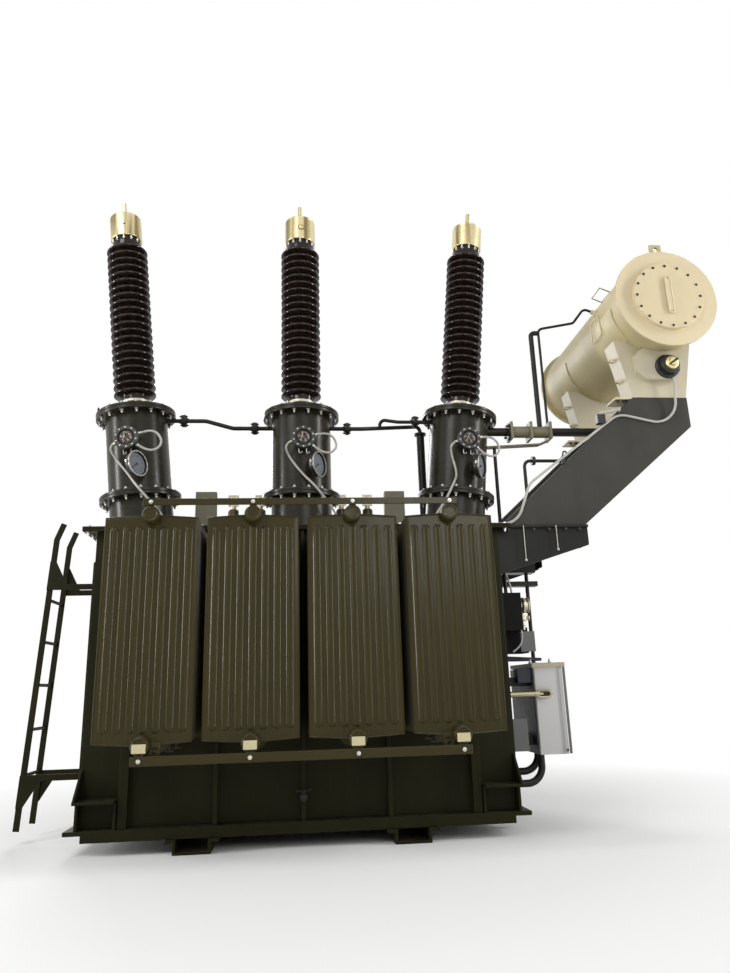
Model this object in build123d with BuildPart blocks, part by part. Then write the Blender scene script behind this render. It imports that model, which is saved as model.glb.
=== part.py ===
"""Oil-filled power transformer: ribbed tank, panel radiators, splayed bushings and a conservator.

Millimetres. Z = 0 is the ground under the skids, X runs toward the conservator, and the bushings
stand on the front, at -Y. The origin is on the ground below the middle of the tank.
"""
import math
import os

from build123d import *

os.makedirs("parts", exist_ok=True)

# Base
skid_spacing = 1300
skid_width = 220
skid_height = 80
skid_length = 1360
skid_plate = 16
skid_ear = 45
anchor_inset = 80
anchor_hole = 36
beam_inset = 100
beam_width = 70
beam_height = 40
bottom_overhang = 60
bottom_thickness = 25

# Tank
tank_length = 2660
tank_width = 1140
tank_wall = 12
wall_height = 1789
rim_overhang = 75
rim_thickness = 16
cover_thickness = 16
rib_pitch = 525
rib_width = 25
rib_depth = 60
post_inset = 267
post_width = 56
end_rib_offset = 420
end_rib_width = 60
end_rib_depth = 42
end_rib_height = 1600

# Jacking pads
pad_width = 235
pad_depth = 150
pad_plate = 16
pad_height = 165
pad_lug_height = 170

# Radiators
radiator_margin = 176
radiator_gap = 57
radiators_per_side = 4
panel_drop = 56
panel_base = 650
panel_peak = 16
panel_thickness = 10
panel_count = 12
panel_pitch = 43.6
stack_gap = 110
header_radius = 29
header_rise = 10
header_drop = 14
header_disc_radius = 50
header_disc_length = 66
header_weld = 3
header_slot_clearance = 2
header_flange_radius = 75
header_flange_length = 20
header_flange_gap = 8
channel_count = 7
channel_margin = 15
channel_gap = 14
channel_height = 6
channel_top_margin = 55
channel_bottom_margin = 95
channel_taper_degrees = 35
tie_bar_thickness = 8
top_bar_width = 40
bottom_bar_width = 50
tie_bar_overhang = 45
tie_tab_width = 40
tie_tab_thickness = 10

# High-voltage turrets and bushings
turret_y = -270
turret_inset = 231.5
turret_splay_degrees = 5.92
turret_radius = 215
turret_flange_radius = 278
turret_flange_length = 42
riser_length = 245
turret_length = 621
box_turn_degrees = {"left": -4.5, "middle": 2.5, "right": 4}
box_clearance = 28
box_radius = 84
box_length = 55
box_neck_radius = 55
box_neck_length = 28
dial_turn_degrees = {"left": 3.3, "middle": 17.5, "right": 16.6}
dial_facing_degrees = 58
dial_clearance = 63
dial_reach = 290
dial_radius = 90
dial_length = 45
dial_neck_radius = 24
bushing_ring_radius = 95
bushing_ring_length = 98
shed_count = 21
shed_pitch = 59
shed_radius = 150
shed_root_radius = 104
shed_edge = 9
shed_foot = 34
bushing_neck_radius = 104
bushing_neck_length = 54
cap_radius = 117
cap_length = 230
cap_dome = 37
stud_radius = 15
stud_length = 65

# Conduits on the turrets
turret_conduit_radius = 8
turret_conduit_bend = 40
conduit_standoff = 12
conduit_lead = 50
run_start_degrees = 200
run_first_drop = 115
run_first_turn_degrees = -26
run_near_rise = 100
run_near_degrees = {"left": -6, "middle": 2, "right": -10}
run_over_rise = 15
run_over_degrees = {"left": 4, "middle": 16, "right": -14.5}
run_low_height = 160
run_low_degrees = {"left": 25, "middle": 44, "right": -26}
run_foot_height = 70
run_foot_degrees = {"left": 40, "middle": 60, "right": -40}
loop_start_degrees = 15
loop_end_degrees = -40
loop_reach = 171
loop_width = 222
loop_side_drop = 55
loop_low_width = 178
loop_low_drop = 99
loop_return = 143

# Gas pipework
gas_pipe_radius = 15
gas_flange_radius = 46
gas_flange_length = 14
gas_stub_length = 60
gas_drop = 4
gas_fall = 56
gas_knee_share = 0.31
gas_bend = 120
gas_lead = 110
gas_tee_share = 0.3
gas_tee_rise = 70
gas_branch_radius = 13
riser_inset = 163.5
riser_radius = 31
riser_rise = 3
riser_elbow_rise = 60
riser_bend = 36
relay_pipe_radius = 32
relay_drop = 81
relay_stub_length = 107
relay_length = 320
relay_flange = 130
relay_flange_length = 20
relay_body_radius = 44
support_thickness = 10
support_width = 60
support_drop = 126
support_rise = 24
support_tail = 96
relay_conduit_x = 115
relay_conduit_radius = 13

# Conservator
conservator_offset = 49
conservator_height = 704
conservator_radius = 353
shell_front = 762
shell_back = 940
conservator_wall = 8
end_flange_radius = 385
end_flange_length = 16
end_plate = 14
access_cover_radius = 262
access_cover_length = 32
grip_length = 265
grip_width = 30
grip_depth = 14
shell_lug_width = 90
shell_lug_height = 130
shell_lug_thickness = 20
shell_lug_hole = 40
shell_lug_inset = 60
saddle_width = 160
saddle_foot_width = 412
saddle_top_width = 604
saddle_top_drop = 249

# Oil-level gauge on the front saddle
gauge_box_width = 345
gauge_box_height = 250
gauge_box_length = 50
gauge_box_chamfer = 60
gauge_box_offset = -45
gauge_box_drop = 451
gauge_offset = 15
gauge_drop = 481
gauge_flange_radius = 92
gauge_flange_length = 24
gauge_body_radius = 70
gauge_body_length = 40
gauge_knob_radius = 46
gauge_knob_length = 40
conduit_radius = 9
conduit_start = 31
conduit_start_drop = 60
conduit_drop = 232
conduit_crest_inset = 130
conduit_crest_drop = 135
conduit_knee_inset = 223
conduit_knee_rise = 295
conduit_foot_inset = 111
conduit_tail = 188
conduit_bend = 150

# Conservator bracket
bracket_y = 560
bracket_plate = 12
bracket_flange_width = 90
bracket_foot_offset = 37
bracket_foot_width = 599
bracket_seat_offset = 1100
bracket_seat_width = 422
bracket_seat_height = 957
bracket_nose_drop = 227
tie_size = 80
shelf_length = 648
shelf_plate = 20
shelf_tip_height = 140
shelf_root_height = 340
shelf_width = 150
shelf_lip = 20
shelf_ribs = ((185, 250), (416, 190))

# Ladder
ladder_half_width = 150
ladder_bar_width = 40
ladder_bar_thickness = 10
ladder_foot_offset = 485
ladder_foot_z = 84
ladder_bend_offset = 383
ladder_bend_rise = 13
ladder_tip_offset = 341
ladder_tip_rise = 128
rung_radius = 11
rung_first_z = 416
rung_pitch = 282
rung_count = 5
ladder_bracket_zs = ((1610, 1), (420, -1))
ladder_bracket_plate = 10
ladder_arm_height = 40
ladder_gusset_width = 90
ladder_gusset_height = 200

# Drive cabinet on the right end wall
cabinet_standoff = 260
cabinet_y = -300
cabinet_z = 432
cabinet_depth = 170
cabinet_width = 500
cabinet_height = 568
cabinet_door = 28
cabinet_roof = 30
cabinet_roof_overhang = 16
cabinet_arm_size = 60
shaft_radius = 14
shaft_y = -50
shaft_inset = 85
gear_drop = 260
gear_size = 110
guide_drop = 340
guide_height = 36

# Instruments on the right end wall
relay_box_x = 200
relay_box_y = -340
relay_box_width = 130
relay_box_z = 1250
relay_box_height = 265
instrument_radius = 48
instrument_length = 60
instrument_z = 1430
link_box_depth = 275
link_box_width = 180
link_box_z = 1105
link_box_height = 180
box_gap = 20

# Low-voltage side of the cover
lv_y = 300
lv_xs = (-530, -320, 320, 530)
lv_base_radius = 80
lv_base_height = 30
lv_body_radius = 55
lv_body_height = 300
lv_stud_radius = 22
lv_stud_height = 30
palm_width = 80
palm_height = 90
palm_thickness = 14
palm_hole = 18
cover_box_inset = 408.5
cover_box_y = -120
cover_box_width = 150
cover_box_depth = 60
cover_box_height = 360

# Conduits on the right end
side_conduit_radius = 22
side_conduit_z = 826
fitting_length = 105
fitting_width = 52
bend_count = 2
bend_pitch = 70
bend_inset = 40
bend_drop = 190
bend_radius = 24
bend_turn = 110

# Drain valve and vents
drain_z = 270
drain_length = 70
drain_radius = 22
vent_inset = 73
vent_radius = 19
vent_height = 786
vent_bend = 32
breather_radius = 10
breather_height = 800
breather_run = 294
breather_rise = 60
breather_bend = 45
breather_entry_degrees = 157
breather_entry_length = 103
bracket_pipe_radius = 12
bracket_pipe_inset = 238
bracket_pipe_y = 450
bracket_pipe_height = 500
bracket_pipe_run = 395
bracket_pipe_bend = 45

# Gap between pieces that slide or clip together
seat_clearance = 0.3

# Worked-out levels and faces
base_top = skid_height + beam_height
floor_z = base_top + bottom_thickness
rim_top = floor_z + wall_height
cover_top = rim_top + cover_thickness
end_x = tank_length / 2
front_y = tank_width / 2
bottom_length = tank_length + 2 * bottom_overhang
beam_length = bottom_length - 2 * beam_inset
bottom_width = tank_width + 2 * rim_overhang
rim_x = end_x + rim_overhang
rim_y = front_y + rim_overhang
rim_bottom = rim_top - rim_thickness


def save(piece, name):
    """Label one finished piece and write it under the same name."""
    piece.part.label = name
    export_step(piece.part, f"parts/{name}.step")


def block(x, y, z):
    """A plate between two opposite corners, given as ranges along X, Y and Z."""
    with Locations((min(x), min(y), min(z))):
        Box(abs(x[1] - x[0]), abs(y[1] - y[0]), abs(z[1] - z[0]), align=(Align.MIN, Align.MIN, Align.MIN))


def rod(start, end, radius):
    """A round bar from one point to another."""
    line = Vector(*end) - Vector(*start)
    with Locations(Plane(origin=start, z_dir=line)):
        Cylinder(radius, line.length, align=(Align.CENTER, Align.CENTER, Align.MIN))


def pipe(points, radius, bend):
    """A round pipe along straight runs joined by tangent bends."""
    with BuildLine() as route:
        FilletPolyline(*points, radius=bend)
    with BuildSketch(Plane(origin=route.line @ 0, z_dir=route.line % 0)) as section:
        Circle(radius)
    sweep(sections=section.sketch, path=route.line)


# Skids: open-ended channels with ears along their upper edges, drilled for the anchor bolts
with BuildPart() as skids:
    with BuildSketch(Plane.XZ.offset(-skid_length / 2)):
        with Locations((-skid_spacing / 2, 0), (skid_spacing / 2, 0)):
            Rectangle(skid_width, skid_height, align=(Align.CENTER, Align.MIN))
        with Locations((-skid_spacing / 2, skid_height), (skid_spacing / 2, skid_height)):
            Rectangle(skid_width + 2 * skid_ear, skid_plate, align=(Align.CENTER, Align.MAX))
        with Locations((-skid_spacing / 2, skid_plate), (skid_spacing / 2, skid_plate)):
            Rectangle(
                skid_width - 2 * skid_plate,
                skid_height - skid_plate,
                align=(Align.CENTER, Align.MIN),
                mode=Mode.SUBTRACT,
            )
    extrude(amount=skid_length)
    with GridLocations(skid_spacing, skid_length - 2 * anchor_inset, 2, 2):
        Cylinder(anchor_hole / 2, 3 * skid_plate, mode=Mode.SUBTRACT)
save(skids, "skids")

# Tank base: the bottom plate welded to a beam along each long edge
with BuildPart() as tank_base:
    with BuildSketch(Plane.XY.offset(skid_height)):
        with GridLocations(0, bottom_width - beam_width, 1, 2):
            Rectangle(beam_length, beam_width)
    extrude(amount=beam_height)
    with BuildSketch(Plane.XY.offset(base_top)):
        Rectangle(bottom_length, bottom_width)
    extrude(amount=bottom_thickness)
save(tank_base, "tank_base")


def long_wall(side):
    """Front or rear wall with its ribs, wide posts and the rim strip that carries the cover."""
    face = side * front_y
    with BuildPart() as wall:
        block((-end_x, end_x), (face, face - side * tank_wall), (floor_z, rim_top))
        block((-rim_x, rim_x), (face, side * rim_y), (rim_bottom, rim_top))
        with BuildSketch(Plane.XY.offset(floor_z)):
            with Locations((0, face + side * rib_depth / 2)):
                with GridLocations(rib_pitch, 0, 3, 1):
                    Rectangle(rib_width, rib_depth)
                with GridLocations(2 * (end_x - post_inset), 0, 2, 1):
                    Rectangle(post_width, rib_depth)
        extrude(amount=rim_bottom - floor_z)
    return wall


def end_wall(side):
    """Left or right wall with two box ribs that have sloping tops, and its rim strip."""
    face = side * end_x
    rib_face = face + side * end_rib_depth
    half_width = front_y - tank_wall
    rib_top = floor_z + end_rib_height
    with BuildPart() as wall:
        block((face, face - side * tank_wall), (-half_width, half_width), (floor_z, rim_top))
        block((face, side * rim_x), (-front_y, front_y), (rim_bottom, rim_top))
        for offset_y in (-end_rib_offset, end_rib_offset):
            with BuildSketch(Plane.XZ.offset(-offset_y)):
                with BuildLine():
                    Polyline(
                        (face, floor_z),
                        (rib_face, floor_z),
                        (rib_face, rib_top),
                        (face, rib_top + end_rib_depth),
                        close=True,
                    )
                make_face()
            extrude(amount=end_rib_width / 2, both=True)
    return wall


save(long_wall(-1), "tank_front_wall")
save(long_wall(1), "tank_rear_wall")
save(end_wall(-1), "tank_left_wall")
save(end_wall(1), "tank_right_wall")

with BuildPart() as tank_cover:
    with BuildSketch(Plane.XY.offset(rim_top)):
        Rectangle(2 * rim_x, 2 * rim_y)
    extrude(amount=cover_thickness)
save(tank_cover, "tank_cover")

# Jacking pads at the four corners: a shelf on two gussets, with a triangular lug above its outer end
with BuildPart() as jacking_pads:
    for side_x in (-1, 1):
        for side_y in (-1, 1):
            outer = side_x * end_x
            inner = side_x * (end_x - pad_width)
            wall_y = side_y * front_y
            pad_y = side_y * (front_y + pad_depth)
            gusset_y = side_y * bottom_width / 2
            top = floor_z + pad_height
            block((inner, outer), (wall_y, pad_y), (top - pad_plate, top))
            for edge in (inner, outer - side_x * pad_plate):
                block((edge, edge + side_x * pad_plate), (wall_y, gusset_y), (floor_z, top - pad_plate))
            with BuildSketch(Plane.YZ.offset(outer - side_x * pad_plate)):
                with BuildLine():
                    Polyline((wall_y, top), (pad_y, top), (wall_y, top + pad_lug_height), close=True)
                make_face()
            extrude(amount=side_x * pad_plate)
save(jacking_pads, "jacking_pads")

# Radiators
radiator_pitch = (tank_length - 2 * radiator_margin) / radiators_per_side
panel_width = radiator_pitch - radiator_gap
channel_pitch = (panel_width - 2 * channel_margin) / channel_count
channel_width = channel_pitch - channel_gap
panel_height = rim_top - panel_drop - panel_base
header_low = panel_base - header_drop
header_high = panel_base + panel_height + header_rise
stack_depth = (panel_count - 1) * panel_pitch + panel_thickness
stack_back = front_y + stack_gap
stack_front = stack_back + stack_depth
disc_front = stack_front + header_disc_length
bar_back = disc_front - tie_bar_thickness
top_bar_z = header_high + header_disc_radius + top_bar_width / 2
bottom_bar_z = header_low - header_disc_radius - bottom_bar_width / 2


# Flat radiator panel: its ends rise to the headers, with a slot for each header tube
with BuildSketch() as panel_outline:
    panel_top = panel_base + panel_height
    slot_width = 2 * (header_radius + header_slot_clearance)
    with BuildLine():
        Polyline(
            (-panel_width / 2, panel_base),
            (0, panel_base - panel_peak),
            (panel_width / 2, panel_base),
            (panel_width / 2, panel_top),
            (0, panel_top + panel_peak),
            (-panel_width / 2, panel_top),
            close=True,
        )
    make_face()
    with Locations((0, header_high - header_radius + header_weld)):
        Rectangle(slot_width, panel_height, align=(Align.CENTER, Align.MIN), mode=Mode.SUBTRACT)
    with Locations((0, header_low + header_radius - header_weld)):
        Rectangle(slot_width, panel_height, align=(Align.CENTER, Align.MAX), mode=Mode.SUBTRACT)


def face_plane(x, side, distance):
    """A plane at a distance from the tank's middle that looks outward, front or rear."""
    return Plane(origin=(x, side * distance, 0), x_dir=(-side, 0, 0), z_dir=(0, side, 0))


def radiator():
    """Panel radiator welded to two header tubes, with end discs, wall flanges and tie-bar tabs."""
    channel_low = panel_base + channel_bottom_margin
    channel_high = panel_base + panel_height - channel_top_margin
    with BuildPart() as unit:
        for index in range(panel_count):
            with BuildSketch(face_plane(0, -1, stack_back + index * panel_pitch)):
                add(panel_outline.sketch)
            extrude(amount=panel_thickness)
        with BuildSketch(face_plane(0, -1, stack_front)):
            with Locations((0, (channel_low + channel_high) / 2)):
                with GridLocations(channel_pitch, 0, channel_count, 1):
                    Rectangle(channel_width, channel_high - channel_low)
        extrude(amount=channel_height, taper=channel_taper_degrees)
        for level in (header_low, header_high):
            with BuildSketch(face_plane(0, -1, front_y)):
                with Locations((0, level)):
                    Circle(header_radius)
            extrude(amount=disc_front - front_y)
            with BuildSketch(face_plane(0, -1, stack_front + channel_height)):
                with Locations((0, level)):
                    Circle(header_disc_radius)
            extrude(amount=header_disc_length - channel_height)
            with BuildSketch(face_plane(0, -1, rim_y + header_flange_gap)):
                with Locations((0, level)):
                    Circle(header_flange_radius)
            extrude(amount=header_flange_length)
        for level, bar_z in ((header_low, bottom_bar_z), (header_high, top_bar_z)):
            with BuildSketch(face_plane(0, -1, bar_back - tie_tab_thickness)):
                with Locations((0, (level + bar_z) / 2)):
                    Rectangle(tie_tab_width, abs(bar_z - level) + top_bar_width)
            extrude(amount=tie_tab_thickness)
    return unit


radiator_xs = [(index - (radiators_per_side - 1) / 2) * radiator_pitch for index in range(radiators_per_side)]
unit = radiator()
for number, radiator_x in enumerate(radiator_xs, start=1):
    for row, turn in (("front", 0), ("rear", 180)):
        placed = Pos(radiator_x, 0, 0) * Rot(0, 0, turn) * unit.part
        placed.label = f"radiator_{row}_{number}"
        export_step(placed, f"parts/radiator_{row}_{number}.step")

# Flat bars that tie each row of radiators together at its header discs
with BuildPart() as radiator_tie_bars:
    bar_length = radiator_xs[-1] - radiator_xs[0] + 2 * tie_bar_overhang
    for side in (-1, 1):
        for bar_z, bar_width in ((bottom_bar_z, bottom_bar_width), (top_bar_z, top_bar_width)):
            with BuildSketch(face_plane(0, side, bar_back)):
                with Locations((0, bar_z)):
                    Rectangle(bar_length, bar_width)
            extrude(amount=tie_bar_thickness)
save(radiator_tie_bars, "radiator_tie_bars")

# Turrets and bushings: each stands on an axis that leaves the cover, upright or splayed outward
lower_flange = riser_length
lower_flange_top = lower_flange + turret_flange_length
dial_height = lower_flange_top + dial_clearance + dial_radius
box_height = dial_height + dial_radius + box_clearance + box_radius
upper_flange = riser_length + turret_length
turret_top = upper_flange + turret_flange_length
ring_top = turret_top + bushing_ring_length
porcelain_top = ring_top + 2 * shed_foot + shed_count * shed_pitch
neck_top = porcelain_top + bushing_neck_length
cap_shoulder = neck_top + cap_length
cap_top = cap_shoulder + cap_dome


class Stand:
    """The axis of one turret: a foot on the cover, a splay angle and the turns of its fittings."""

    def __init__(self, key, foot_x, splay):
        tilt = math.radians(splay)
        self.foot = Vector(foot_x, turret_y, cover_top)
        self.up = Vector(math.sin(tilt), 0, math.cos(tilt))
        self.right = Vector(math.cos(tilt), 0, -math.sin(tilt))
        self.axis = Axis(self.foot, self.up)
        self.profile = Plane(origin=self.foot, x_dir=self.right, z_dir=(0, -1, 0))
        self.box_turn = box_turn_degrees[key]
        self.dial_turn = dial_turn_degrees[key]

    def outward(self, turn):
        """The direction square to the axis, turned from the front toward the right."""
        angle = math.radians(turn)
        return Vector(0, -math.cos(angle), 0) + self.right * math.sin(angle)

    def point(self, height, turn, distance):
        """A point beside the axis."""
        return self.foot + self.up * height + self.outward(turn) * distance

    def box_plane(self, distance):
        """A plane across the terminal box that faces outward, with the turret's axis upright in it."""
        direction = self.outward(self.box_turn)
        origin = self.point(box_height, self.box_turn, distance)
        return Plane(origin=origin, x_dir=self.up.cross(direction), z_dir=direction)

    def dial_plane(self):
        """The plane of the back of the dial, which is turned to be read from the right."""
        origin = self.point(dial_height, self.dial_turn, dial_reach)
        return Plane(origin=origin, z_dir=self.outward(dial_facing_degrees))

    def axis_x(self, height):
        """The X of the axis at a height above the cover."""
        return self.foot.X + height * self.up.X / self.up.Z


turret_foot_x = end_x - turret_inset
stands = {
    "left": Stand("left", -turret_foot_x, -turret_splay_degrees),
    "middle": Stand("middle", 0, 0),
    "right": Stand("right", turret_foot_x, turret_splay_degrees),
}
gas_outer_height = upper_flange - gas_drop
relay_height = upper_flange - relay_drop
gas_outer_z = cover_top + gas_outer_height
gas_middle_z = gas_outer_z - gas_fall
relay_z = cover_top + relay_height
left_end = stands["left"].axis_x(gas_outer_height) + turret_flange_radius + gas_stub_length
middle_right = turret_flange_radius + gas_stub_length
right_start = stands["right"].axis_x(gas_outer_height) - turret_flange_radius - gas_stub_length
relay_start = stands["right"].axis_x(relay_height) + turret_flange_radius + relay_stub_length
gas_stubs = {
    "left": ((left_end, gas_outer_z, gas_pipe_radius, gas_flange_radius),),
    "middle": (
        (-middle_right, gas_middle_z, gas_pipe_radius, gas_flange_radius),
        (middle_right, gas_middle_z, gas_pipe_radius, gas_flange_radius),
    ),
    "right": (
        (right_start, gas_outer_z, gas_pipe_radius, gas_flange_radius),
        (relay_start, relay_z, relay_pipe_radius, relay_flange / 2),
    ),
}


def turret(key):
    """Flanged turret on its riser, with necks for the terminal box and dial and its gas stubs."""
    stand = stands[key]
    buried = turret_radius
    with BuildPart() as body:
        with BuildSketch(stand.profile):
            with BuildLine():
                Polyline(
                    (0, -buried),
                    (turret_radius, -buried),
                    (turret_radius, lower_flange),
                    (turret_flange_radius, lower_flange),
                    (turret_flange_radius, lower_flange_top),
                    (turret_radius, lower_flange_top),
                    (turret_radius, upper_flange),
                    (turret_flange_radius, upper_flange),
                    (turret_flange_radius, turret_top),
                    (0, turret_top),
                    close=True,
                )
            make_face()
        revolve(axis=stand.axis)
        split(bisect_by=Plane.XY.offset(cover_top), keep=Keep.TOP)
        with BuildSketch(stand.box_plane(0)):
            Circle(box_neck_radius)
        extrude(amount=turret_radius + box_neck_length)
        slant = math.radians(dial_facing_degrees - stand.dial_turn)
        neck_plane = Plane(origin=stand.point(dial_height, 0, 0), z_dir=stand.outward(stand.dial_turn))
        with BuildSketch(neck_plane):
            Circle(dial_neck_radius)
        extrude(amount=dial_reach + dial_length / 2 / math.cos(slant))
        with BuildSketch(stand.dial_plane()):
            Circle(dial_radius)
        extrude(amount=dial_length, mode=Mode.SUBTRACT)
        for end, level, pipe_radius, flange_radius in gas_stubs[key]:
            start = stand.axis_x(level - cover_top)
            flange = end - math.copysign(gas_flange_length, end - start)
            rod((start, turret_y, level), (end, turret_y, level), pipe_radius)
            rod((flange, turret_y, level), (end, turret_y, level), flange_radius)
    return body


def bushing(stand):
    """Porcelain insulator with sheds that slope down and out to a blunt edge."""
    edge_drop = shed_pitch / 2
    with BuildPart() as porcelain:
        with BuildSketch(stand.profile):
            with BuildLine():
                outline = [(0, ring_top), (shed_root_radius, ring_top)]
                for index in range(shed_count):
                    root = ring_top + shed_foot + index * shed_pitch
                    outline.append((shed_root_radius, root))
                    outline.append((shed_radius, root + edge_drop / 2))
                    outline.append((shed_radius, root + edge_drop / 2 + shed_edge))
                outline.append((shed_root_radius, porcelain_top - shed_foot))
                outline.append((shed_root_radius, porcelain_top))
                outline.append((0, porcelain_top))
                Polyline(*outline, close=True)
            make_face()
        revolve(axis=stand.axis)
    return porcelain


for key, stand in stands.items():
    save(turret(key), f"turret_{key}")
    save(bushing(stand), f"bushing_{key}")

with BuildPart() as bushing_rings:
    for stand in stands.values():
        with BuildSketch(Plane(origin=stand.foot + stand.up * turret_top, z_dir=stand.up)):
            Circle(bushing_ring_radius)
        extrude(amount=bushing_ring_length)
save(bushing_rings, "bushing_rings")

with BuildPart() as bushing_caps:
    for stand in stands.values():
        with BuildSketch(stand.profile):
            with BuildLine():
                Polyline(
                    (0, cap_top),
                    (0, porcelain_top),
                    (bushing_neck_radius, porcelain_top),
                    (bushing_neck_radius, neck_top),
                    (cap_radius, neck_top),
                    (cap_radius, cap_shoulder),
                )
                ThreePointArc(
                    (cap_radius, cap_shoulder),
                    (cap_radius * 0.7, cap_shoulder + cap_dome * 0.72),
                    (0, cap_top),
                )
            make_face()
        revolve(axis=stand.axis)
        with BuildSketch(Plane(origin=stand.foot + stand.up * cap_shoulder, z_dir=stand.up)):
            Circle(stud_radius)
        extrude(amount=cap_dome + stud_length)
save(bushing_caps, "bushing_caps")

with BuildPart() as turret_terminal_boxes:
    for stand in stands.values():
        with BuildSketch(stand.box_plane(turret_radius + box_neck_length)):
            Circle(box_radius)
        extrude(amount=box_length)
save(turret_terminal_boxes, "turret_terminal_boxes")

with BuildPart() as turret_dials:
    for stand in stands.values():
        with BuildSketch(stand.dial_plane()):
            Circle(dial_radius)
        extrude(amount=dial_length)
save(turret_dials, "turret_dials")


# Flexible conduits: from each box one loops back to it, and one runs down over the flange to the cover
def around_box(degrees, distance):
    """A direction from the middle of the box, as coordinates on its plane."""
    angle = math.radians(degrees)
    return distance * math.cos(angle), distance * math.sin(angle)


with BuildPart() as turret_conduits:
    body_reach = turret_radius + turret_conduit_radius + conduit_standoff
    flange_reach = turret_flange_radius + turret_conduit_radius + conduit_standoff
    gland = box_radius + seat_clearance
    for key, stand in stands.items():
        middle = stand.box_plane(turret_radius + box_neck_length + box_length / 2)
        loop = [
            around_box(loop_start_degrees, gland),
            around_box(loop_start_degrees, loop_reach),
            (loop_width, -loop_side_drop),
            (loop_low_width, -loop_low_drop),
            around_box(loop_end_degrees, loop_return),
            around_box(loop_end_degrees, gland),
        ]
        loop_points = [middle.from_local_coords((x, y, 0)) for x, y in loop]
        pipe(loop_points, turret_conduit_radius, turret_conduit_bend)
        lead = [around_box(run_start_degrees, gland), around_box(run_start_degrees, gland + conduit_lead)]
        first_turn = stand.box_turn + run_first_turn_degrees
        foot = stand.point(0, run_foot_degrees[key], flange_reach)
        run_route = [
            *[middle.from_local_coords((x, y, 0)) for x, y in lead],
            stand.point(box_height - run_first_drop, first_turn, body_reach),
            stand.point(lower_flange_top + run_near_rise, run_near_degrees[key], body_reach),
            stand.point(lower_flange_top + run_over_rise, run_over_degrees[key], flange_reach),
            stand.point(run_low_height, run_low_degrees[key], flange_reach),
            Vector(foot.X, foot.Y, cover_top + run_foot_height),
            Vector(foot.X, foot.Y, cover_top + seat_clearance),
        ]
        pipe(run_route, turret_conduit_radius, turret_conduit_bend)
save(turret_conduits, "turret_conduits")

# Gas pipes: one links the left and middle turrets, one runs on to a riser, and a branch meets the right
relay_end = relay_start + relay_length
riser_x = turret_foot_x - riser_inset
riser_top = gas_outer_z + riser_rise
with BuildPart() as gas_pipes:
    gas_knee = gas_knee_share * (-middle_right - left_end)
    pipe(
        [
            (left_end, turret_y, gas_outer_z),
            (left_end + gas_knee, turret_y, gas_outer_z),
            (-middle_right - gas_knee, turret_y, gas_middle_z),
            (-middle_right, turret_y, gas_middle_z),
        ],
        gas_pipe_radius,
        gas_bend,
    )
    rod((riser_x, 0, cover_top), (riser_x, 0, riser_top), riser_radius)
    rod((riser_x, 0, riser_top - gas_flange_length), (riser_x, 0, riser_top), gas_flange_radius)
    main_start = Vector(middle_right, turret_y, gas_middle_z)
    main_knee = main_start + Vector(gas_lead, 0, 0)
    main_end = Vector(riser_x, 0, riser_top + riser_elbow_rise)
    pipe([main_start, main_knee, main_end, Vector(riser_x, 0, riser_top)], gas_pipe_radius, riser_bend)
    tee = main_knee + (main_end - main_knee) * gas_tee_share
    branch_end = Vector(right_start, turret_y, gas_outer_z)
    branch_knee = Vector((tee.X + right_start) / 2, turret_y, gas_outer_z)
    pipe([tee, tee + Vector(0, 0, gas_tee_rise), branch_knee, branch_end], gas_branch_radius, riser_bend)
save(gas_pipes, "gas_pipes")

with BuildPart() as gas_relay:
    rod((relay_start, turret_y, relay_z), (relay_end, turret_y, relay_z), relay_body_radius)
    for flange_x in (
        relay_start + relay_flange_length / 2,
        relay_start + relay_length / 2,
        relay_end - relay_flange_length / 2,
    ):
        with Locations((flange_x, turret_y, relay_z)):
            Box(relay_flange_length, relay_flange, relay_flange)
    support_z = relay_z - support_drop
    right_up = stands["right"].up
    support_face = (turret_radius + support_thickness * right_up.X) / right_up.Z + seat_clearance
    support_start = stands["right"].axis_x(support_z - cover_top) + support_face
    with BuildSketch(Plane.XZ.offset(-turret_y)):
        with BuildLine():
            Polyline(
                (support_start, support_z),
                (relay_end - support_tail, support_z + support_rise),
                (relay_end - relay_flange_length / 2, relay_z - relay_flange / 2),
            )
        trace(line_width=support_thickness)
    extrude(amount=support_width / 2, both=True)
save(gas_relay, "gas_relay")

# Conservator: a rolled shell with end flanges and lifting lugs, closed by two end plates
bracket_foot_inner = end_x + bracket_foot_offset
bracket_foot_outer = bracket_foot_inner + bracket_foot_width
bracket_seat_inner = end_x + bracket_seat_offset
bracket_seat_outer = bracket_seat_inner + bracket_seat_width
bracket_seat_z = cover_top + bracket_seat_height
bracket_nose_z = bracket_seat_z - bracket_nose_drop
seat_middle = (bracket_seat_inner + bracket_seat_outer) / 2
conservator_x = seat_middle + conservator_offset
conservator_z = bracket_seat_z + conservator_height


def conservator_plane(distance):
    """A plane across the conservator axis that looks to the front."""
    return Plane(origin=(conservator_x, -distance, conservator_z), x_dir=(1, 0, 0), z_dir=(0, -1, 0))


with BuildPart() as conservator_shell:
    with BuildSketch(conservator_plane(-shell_back)):
        Circle(conservator_radius)
        Circle(conservator_radius - conservator_wall, mode=Mode.SUBTRACT)
    extrude(amount=shell_back + shell_front)
    for start in (-shell_back, shell_front - end_flange_length):
        with BuildSketch(conservator_plane(start)):
            Circle(end_flange_radius)
            Circle(conservator_radius - conservator_wall, mode=Mode.SUBTRACT)
        extrude(amount=end_flange_length)
    for start in (shell_lug_inset - shell_back, shell_front - shell_lug_inset):
        with BuildSketch(conservator_plane(start)):
            with Locations((0, conservator_radius - conservator_wall / 2)):
                Rectangle(shell_lug_width, shell_lug_height, align=(Align.CENTER, Align.MIN))
            with Locations((0, conservator_radius + shell_lug_height - shell_lug_width / 2)):
                Circle(shell_lug_hole / 2, mode=Mode.SUBTRACT)
        extrude(amount=shell_lug_thickness)
save(conservator_shell, "conservator_shell")

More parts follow.
